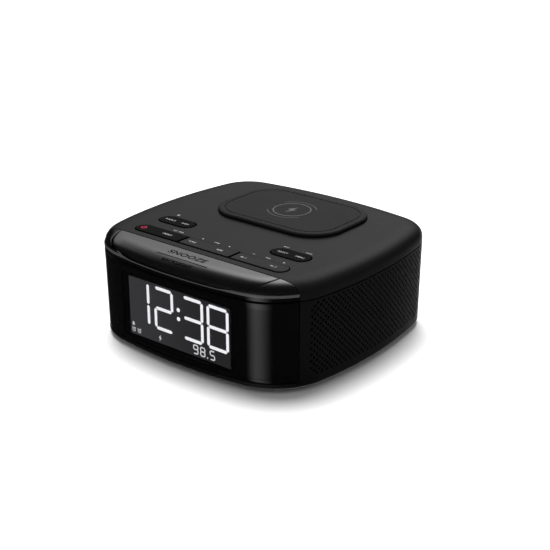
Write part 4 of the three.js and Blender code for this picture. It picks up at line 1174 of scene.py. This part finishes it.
def build_jack():
    lo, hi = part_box("dc_jack")
    x0, x1, y0, y1, z0, z1 = lo.x / MM, hi.x / MM, lo.y / MM, hi.y / MM, lo.z / MM, hi.z / MM
    cx, cz = (x0 + x1) / 2, 19.6
    n = 48
    circ = lambda r, y: [(cx + r * math.cos(2 * math.pi * k / n), y, cz + r * math.sin(2 * math.pi * k / n)) for k in range(n)]
    b = Build()
    def square(y, d=0.0):
        out = []
        hx, up, dn = (x1 - x0) / 2 - d, z1 - cz - d, cz - z0 - d
        for k in range(n):
            a = 2 * math.pi * k / n
            c, s = math.cos(a), math.sin(a)
            r = min(hx / max(abs(c), 1e-6), (up if s > 0 else dn) / max(abs(s), 1e-6))
            out.append((cx + r * c, y, cz + r * s))
        return out
    b.rows([square(y0), square(y1 - 0.3), square(y1, 0.3), circ(3.7, y1), circ(3.5, y1 - 0.25), circ(3.15, y1 - 0.5), circ(3.1, y1 - 9.5)], closed=True)
    b.poly(circ(3.1, y1 - 9.5)); b.poly(square(y0))
    ob = b.done("dc_jack_body", [M_INNER])
    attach(ob, "case"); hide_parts("dc_jack")
    b = Build()
    b.rows([circ(1.0, y1 - 9.5), circ(1.0, y1 - 1.9), circ(0.7, y1 - 1.5), circ(0.35, y1 - 1.45), circ(0.3, y1 - 3)], closed=True)
    b.poly(circ(0.3, y1 - 3))
    pin = b.done("dc_jack_pin", [M_STEEL])
    b = Build()
    b.rows([circ(3.08, y1 - 1.6), circ(3.08, y1 - 6), circ(2.9, y1 - 6), circ(2.9, y1 - 1.6), circ(3.08, y1 - 1.6)], closed=True)
    sl = b.done("dc_jack_sleeve", [M_STEEL])
    for q in (pin, sl):
        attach(q, "case")


build_usb()
build_jack()
gr = turned("aerial_grommet_rubber", [(0, -73.0), (5.05, -73.0), (5.05, -74.4), (3.32, -74.6), (3.32, -78.6), (3.1, -79.0), (2.7, -79.2), (1.5, -79.2), (1.25, -79.0), (1.1, -78.4), (0.95, -77.2), (0, -77.2)], (42, 0, 18), [M_FOOT], axis="Y")
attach(gr, "case"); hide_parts("aerial_grommet")

# ------------------------------------------------------------------ carried-over CAD nodes get their materials
BY_SLOT = {
    "cabinet_black": M_CABINET, "soft_black": M_COVER, "piano_black": M_GLOSS, "satin_grey": M_SNOOZE, "key_black": M_KEY, "rubber": M_RUBBER,
    "inner_black": M_INNER, "lcd": M_INNER, "light_guide": M_GUIDE, "board": M_BOARD, "steel": M_STEEL, "copper": M_COPPER, "ferrite": M_FERRITE,
    "aluminium": M_ALU, "cone": M_CONE, "magnet": M_MAGNET, "cloth": M_CLOTH, "wire": M_WIRE, "ribbon": M_FILM,
}
slot_of = {s["node"]: s["material_slot"] for s in frame["record"]["subparts"]}
for node, ob in frame["nodes"].items():
    m = BY_SLOT[slot_of[node]]
    if node.startswith("case_screw"):
        m = M_DARKSTEEL
    if node == "key_board":
        m = M_BOARD_BLACK
    ob.data.materials.clear()
    ob.data.materials.append(m)

# ------------------------------------------------------------------ floor, light, camera
DOME_SIDE, DOME_TILT, DOME_LEVEL = (-0.8, 0.6, 0.0), 0.2, 0.40
SUN_FROM = (-0.25, 0.24, 0.938)
M_REAR, M_LEFT, M_TOP, M_BAND, M_STRIP, M_EDGE, M_WALL = 0.11, 0.22, 1.8, 0.70, 1.5, 2.0, 0.17
floor_me = bpy.data.meshes.new("floor")
S = 6.0
floor_me.from_pydata([(-S, -S, 0), (S, -S, 0), (S, S, 0), (-S, S, 0)], [], [(0, 1, 2, 3)])
floor = link(bpy.data.objects.new("floor", floor_me))
fm, ft_, fp = nodes_of("pale_floor")
fp.inputs["Base Color"].default_value = (0.90, 0.90, 0.90, 1)
fp.inputs["Roughness"].default_value = 0.9
fp.inputs["Specular IOR Level"].default_value = 0.0
floor_me.materials.append(fm)
floor.visible_glossy = False
floor.visible_transmission = False
floor.visible_shadow = False

world = bpy.data.worlds.new("studio")
scene.world = world
world.use_nodes = True
wt = world.node_tree
WN, WL = wt.nodes, wt.links
bg = WN["Background"]
direction = WN.new("ShaderNodeTexCoord").outputs["Generated"]
axes = WN.new("ShaderNodeSeparateXYZ")
WL.new(direction, axes.inputs["Vector"])


def wmath(op, a, b=None):
    n = WN.new("ShaderNodeMath"); n.operation = op
    for i, v in enumerate((a, b)):
        if v is None:
            continue
        if isinstance(v, (int, float)):
            n.inputs[i].default_value = v
        else:
            WL.new(v, n.inputs[i])
    return n.outputs["Value"]


def wstep(value, lo, hi, out_lo=0.0, out_hi=1.0):
    n = WN.new("ShaderNodeMapRange"); n.interpolation_type = "SMOOTHSTEP"
    WL.new(value, n.inputs["Value"])
    n.inputs["From Min"].default_value, n.inputs["From Max"].default_value = lo, hi
    n.inputs["To Min"].default_value, n.inputs["To Max"].default_value = out_lo, out_hi
    return n.outputs["Result"]


def lobe(c, lo, hi, amount):
    n = WN.new("ShaderNodeVectorMath"); n.operation = "DOT_PRODUCT"
    WL.new(direction, n.inputs[0])
    n.inputs[1].default_value = Vector(c).normalized()
    return wstep(n.outputs["Value"], lo, hi, 0.0, amount)


azimuth = wmath("MULTIPLY", wmath("ARCTAN2", axes.outputs["X"], wmath("MULTIPLY", axes.outputs["Y"], -1.0)), 180 / math.pi)
height = axes.outputs["Z"]

# soft light on everything matt: brighter behind and to the left, dark below the floor
side = WN.new("ShaderNodeVectorMath"); side.operation = "DOT_PRODUCT"
WL.new(direction, side.inputs[0]); side.inputs[1].default_value = DOME_SIDE
dome_light = wmath("MULTIPLY", wmath("MAXIMUM", wmath("ADD", wmath("MULTIPLY", side.outputs["Value"], DOME_TILT), DOME_LEVEL), 0.05), wstep(height, -0.02, 0.02, 0.35, 1.0))

# what glossy surfaces mirror
upper = wstep(height, -0.05, 0.05)
below = wstep(height, -0.2, 0.0, 1.0, 0.0)
mirror = wmath("ADD", lobe((-0.35, 0.80, 0.45), 0.84, 0.995, M_REAR), lobe((-0.66, 0.66, 0.36), 0.955, 0.998, M_LEFT))
mirror = wmath("ADD", mirror, lobe((-0.32, 0.70, 0.64), 0.91, 1.0, M_TOP))
band = wmath("MULTIPLY", wmath("MULTIPLY", wstep(height, 0.31, 0.42), wstep(height, 0.52, 0.72, 1.0, 0.0)), wmath("MULTIPLY", wstep(azimuth, -143, -119), wstep(azimuth, -105, -70, 1.0, 0.0)))
mirror = wmath("ADD", mirror, wmath("MULTIPLY", band, M_BAND))
strip_front = wmath("MULTIPLY", wmath("MULTIPLY", wstep(azimuth, -13, 8), wstep(azimuth, 6, 36, 1.0, 0.0)), wmath("MULTIPLY", below, wstep(height, -0.45, -0.37, 0.6, 1.0)))
mirror = wmath("ADD", mirror, wmath("MULTIPLY", strip_front, M_STRIP))
strip_left = wmath("MULTIPLY", wstep(azimuth, -126, -110, 1.0, 0.0), below)
mirror = wmath("ADD", mirror, wmath("MULTIPLY", strip_left, M_EDGE))
strip_right = wmath("MULTIPLY", wstep(azimuth, 95, 165), below)
mirror = wmath("ADD", mirror, wmath("MULTIPLY", strip_right, M_WALL))
mirror = wmath("ADD", mirror, 0.016)

path = WN.new("ShaderNodeLightPath")
chosen = WN.new("ShaderNodeMix"); chosen.data_type = "FLOAT"
WL.new(path.outputs["Is Glossy Ray"], chosen.inputs[0]); WL.new(dome_light, chosen.inputs[2]); WL.new(mirror, chosen.inputs[3])
seen = WN.new("ShaderNodeMix"); seen.data_type = "FLOAT"
WL.new(path.outputs["Is Camera Ray"], seen.inputs[0]); WL.new(chosen.outputs[0], seen.inputs[2]); seen.inputs[3].default_value = 1.0
comb = WN.new("ShaderNodeCombineColor")
for c in range(3):
    WL.new(seen.outputs[0], comb.inputs[c])
WL.new(comb.outputs["Color"], bg.inputs["Color"])
bg.inputs["Strength"].default_value = 1.0
world.cycles.sampling_method = "NONE"

sun_d = bpy.data.lights.new("soft_sun", "SUN")
sun_d.energy, sun_d.angle = 4.9, math.radians(34)
sun = link(bpy.data.objects.new("soft_sun", sun_d))
sun.rotation_mode = "QUATERNION"
sun.rotation_quaternion = Vector(SUN_FROM).to_track_quat("Z", "Y")
sun.visible_glossy = False

cam_d = bpy.data.cameras.new("camera")
cam = link(bpy.data.objects.new("camera", cam_d))
AZ, EL = math.radians(39.07), math.radians(22.2)
back = Vector((math.sin(AZ) * math.cos(EL), -math.cos(AZ) * math.cos(EL), math.sin(EL)))
cam.location = (0.43287, -0.52029, 0.30946)
cam.rotation_mode = "QUATERNION"
cam.rotation_quaternion = (-back).to_track_quat("-Z", "Y")
cam_d.sensor_width, cam_d.lens = 36.0, 1171.57 / 550 * 36
cam_d.clip_start, cam_d.clip_end = 0.01, 50
scene.camera = cam
scene.view_settings.view_transform = "Standard"
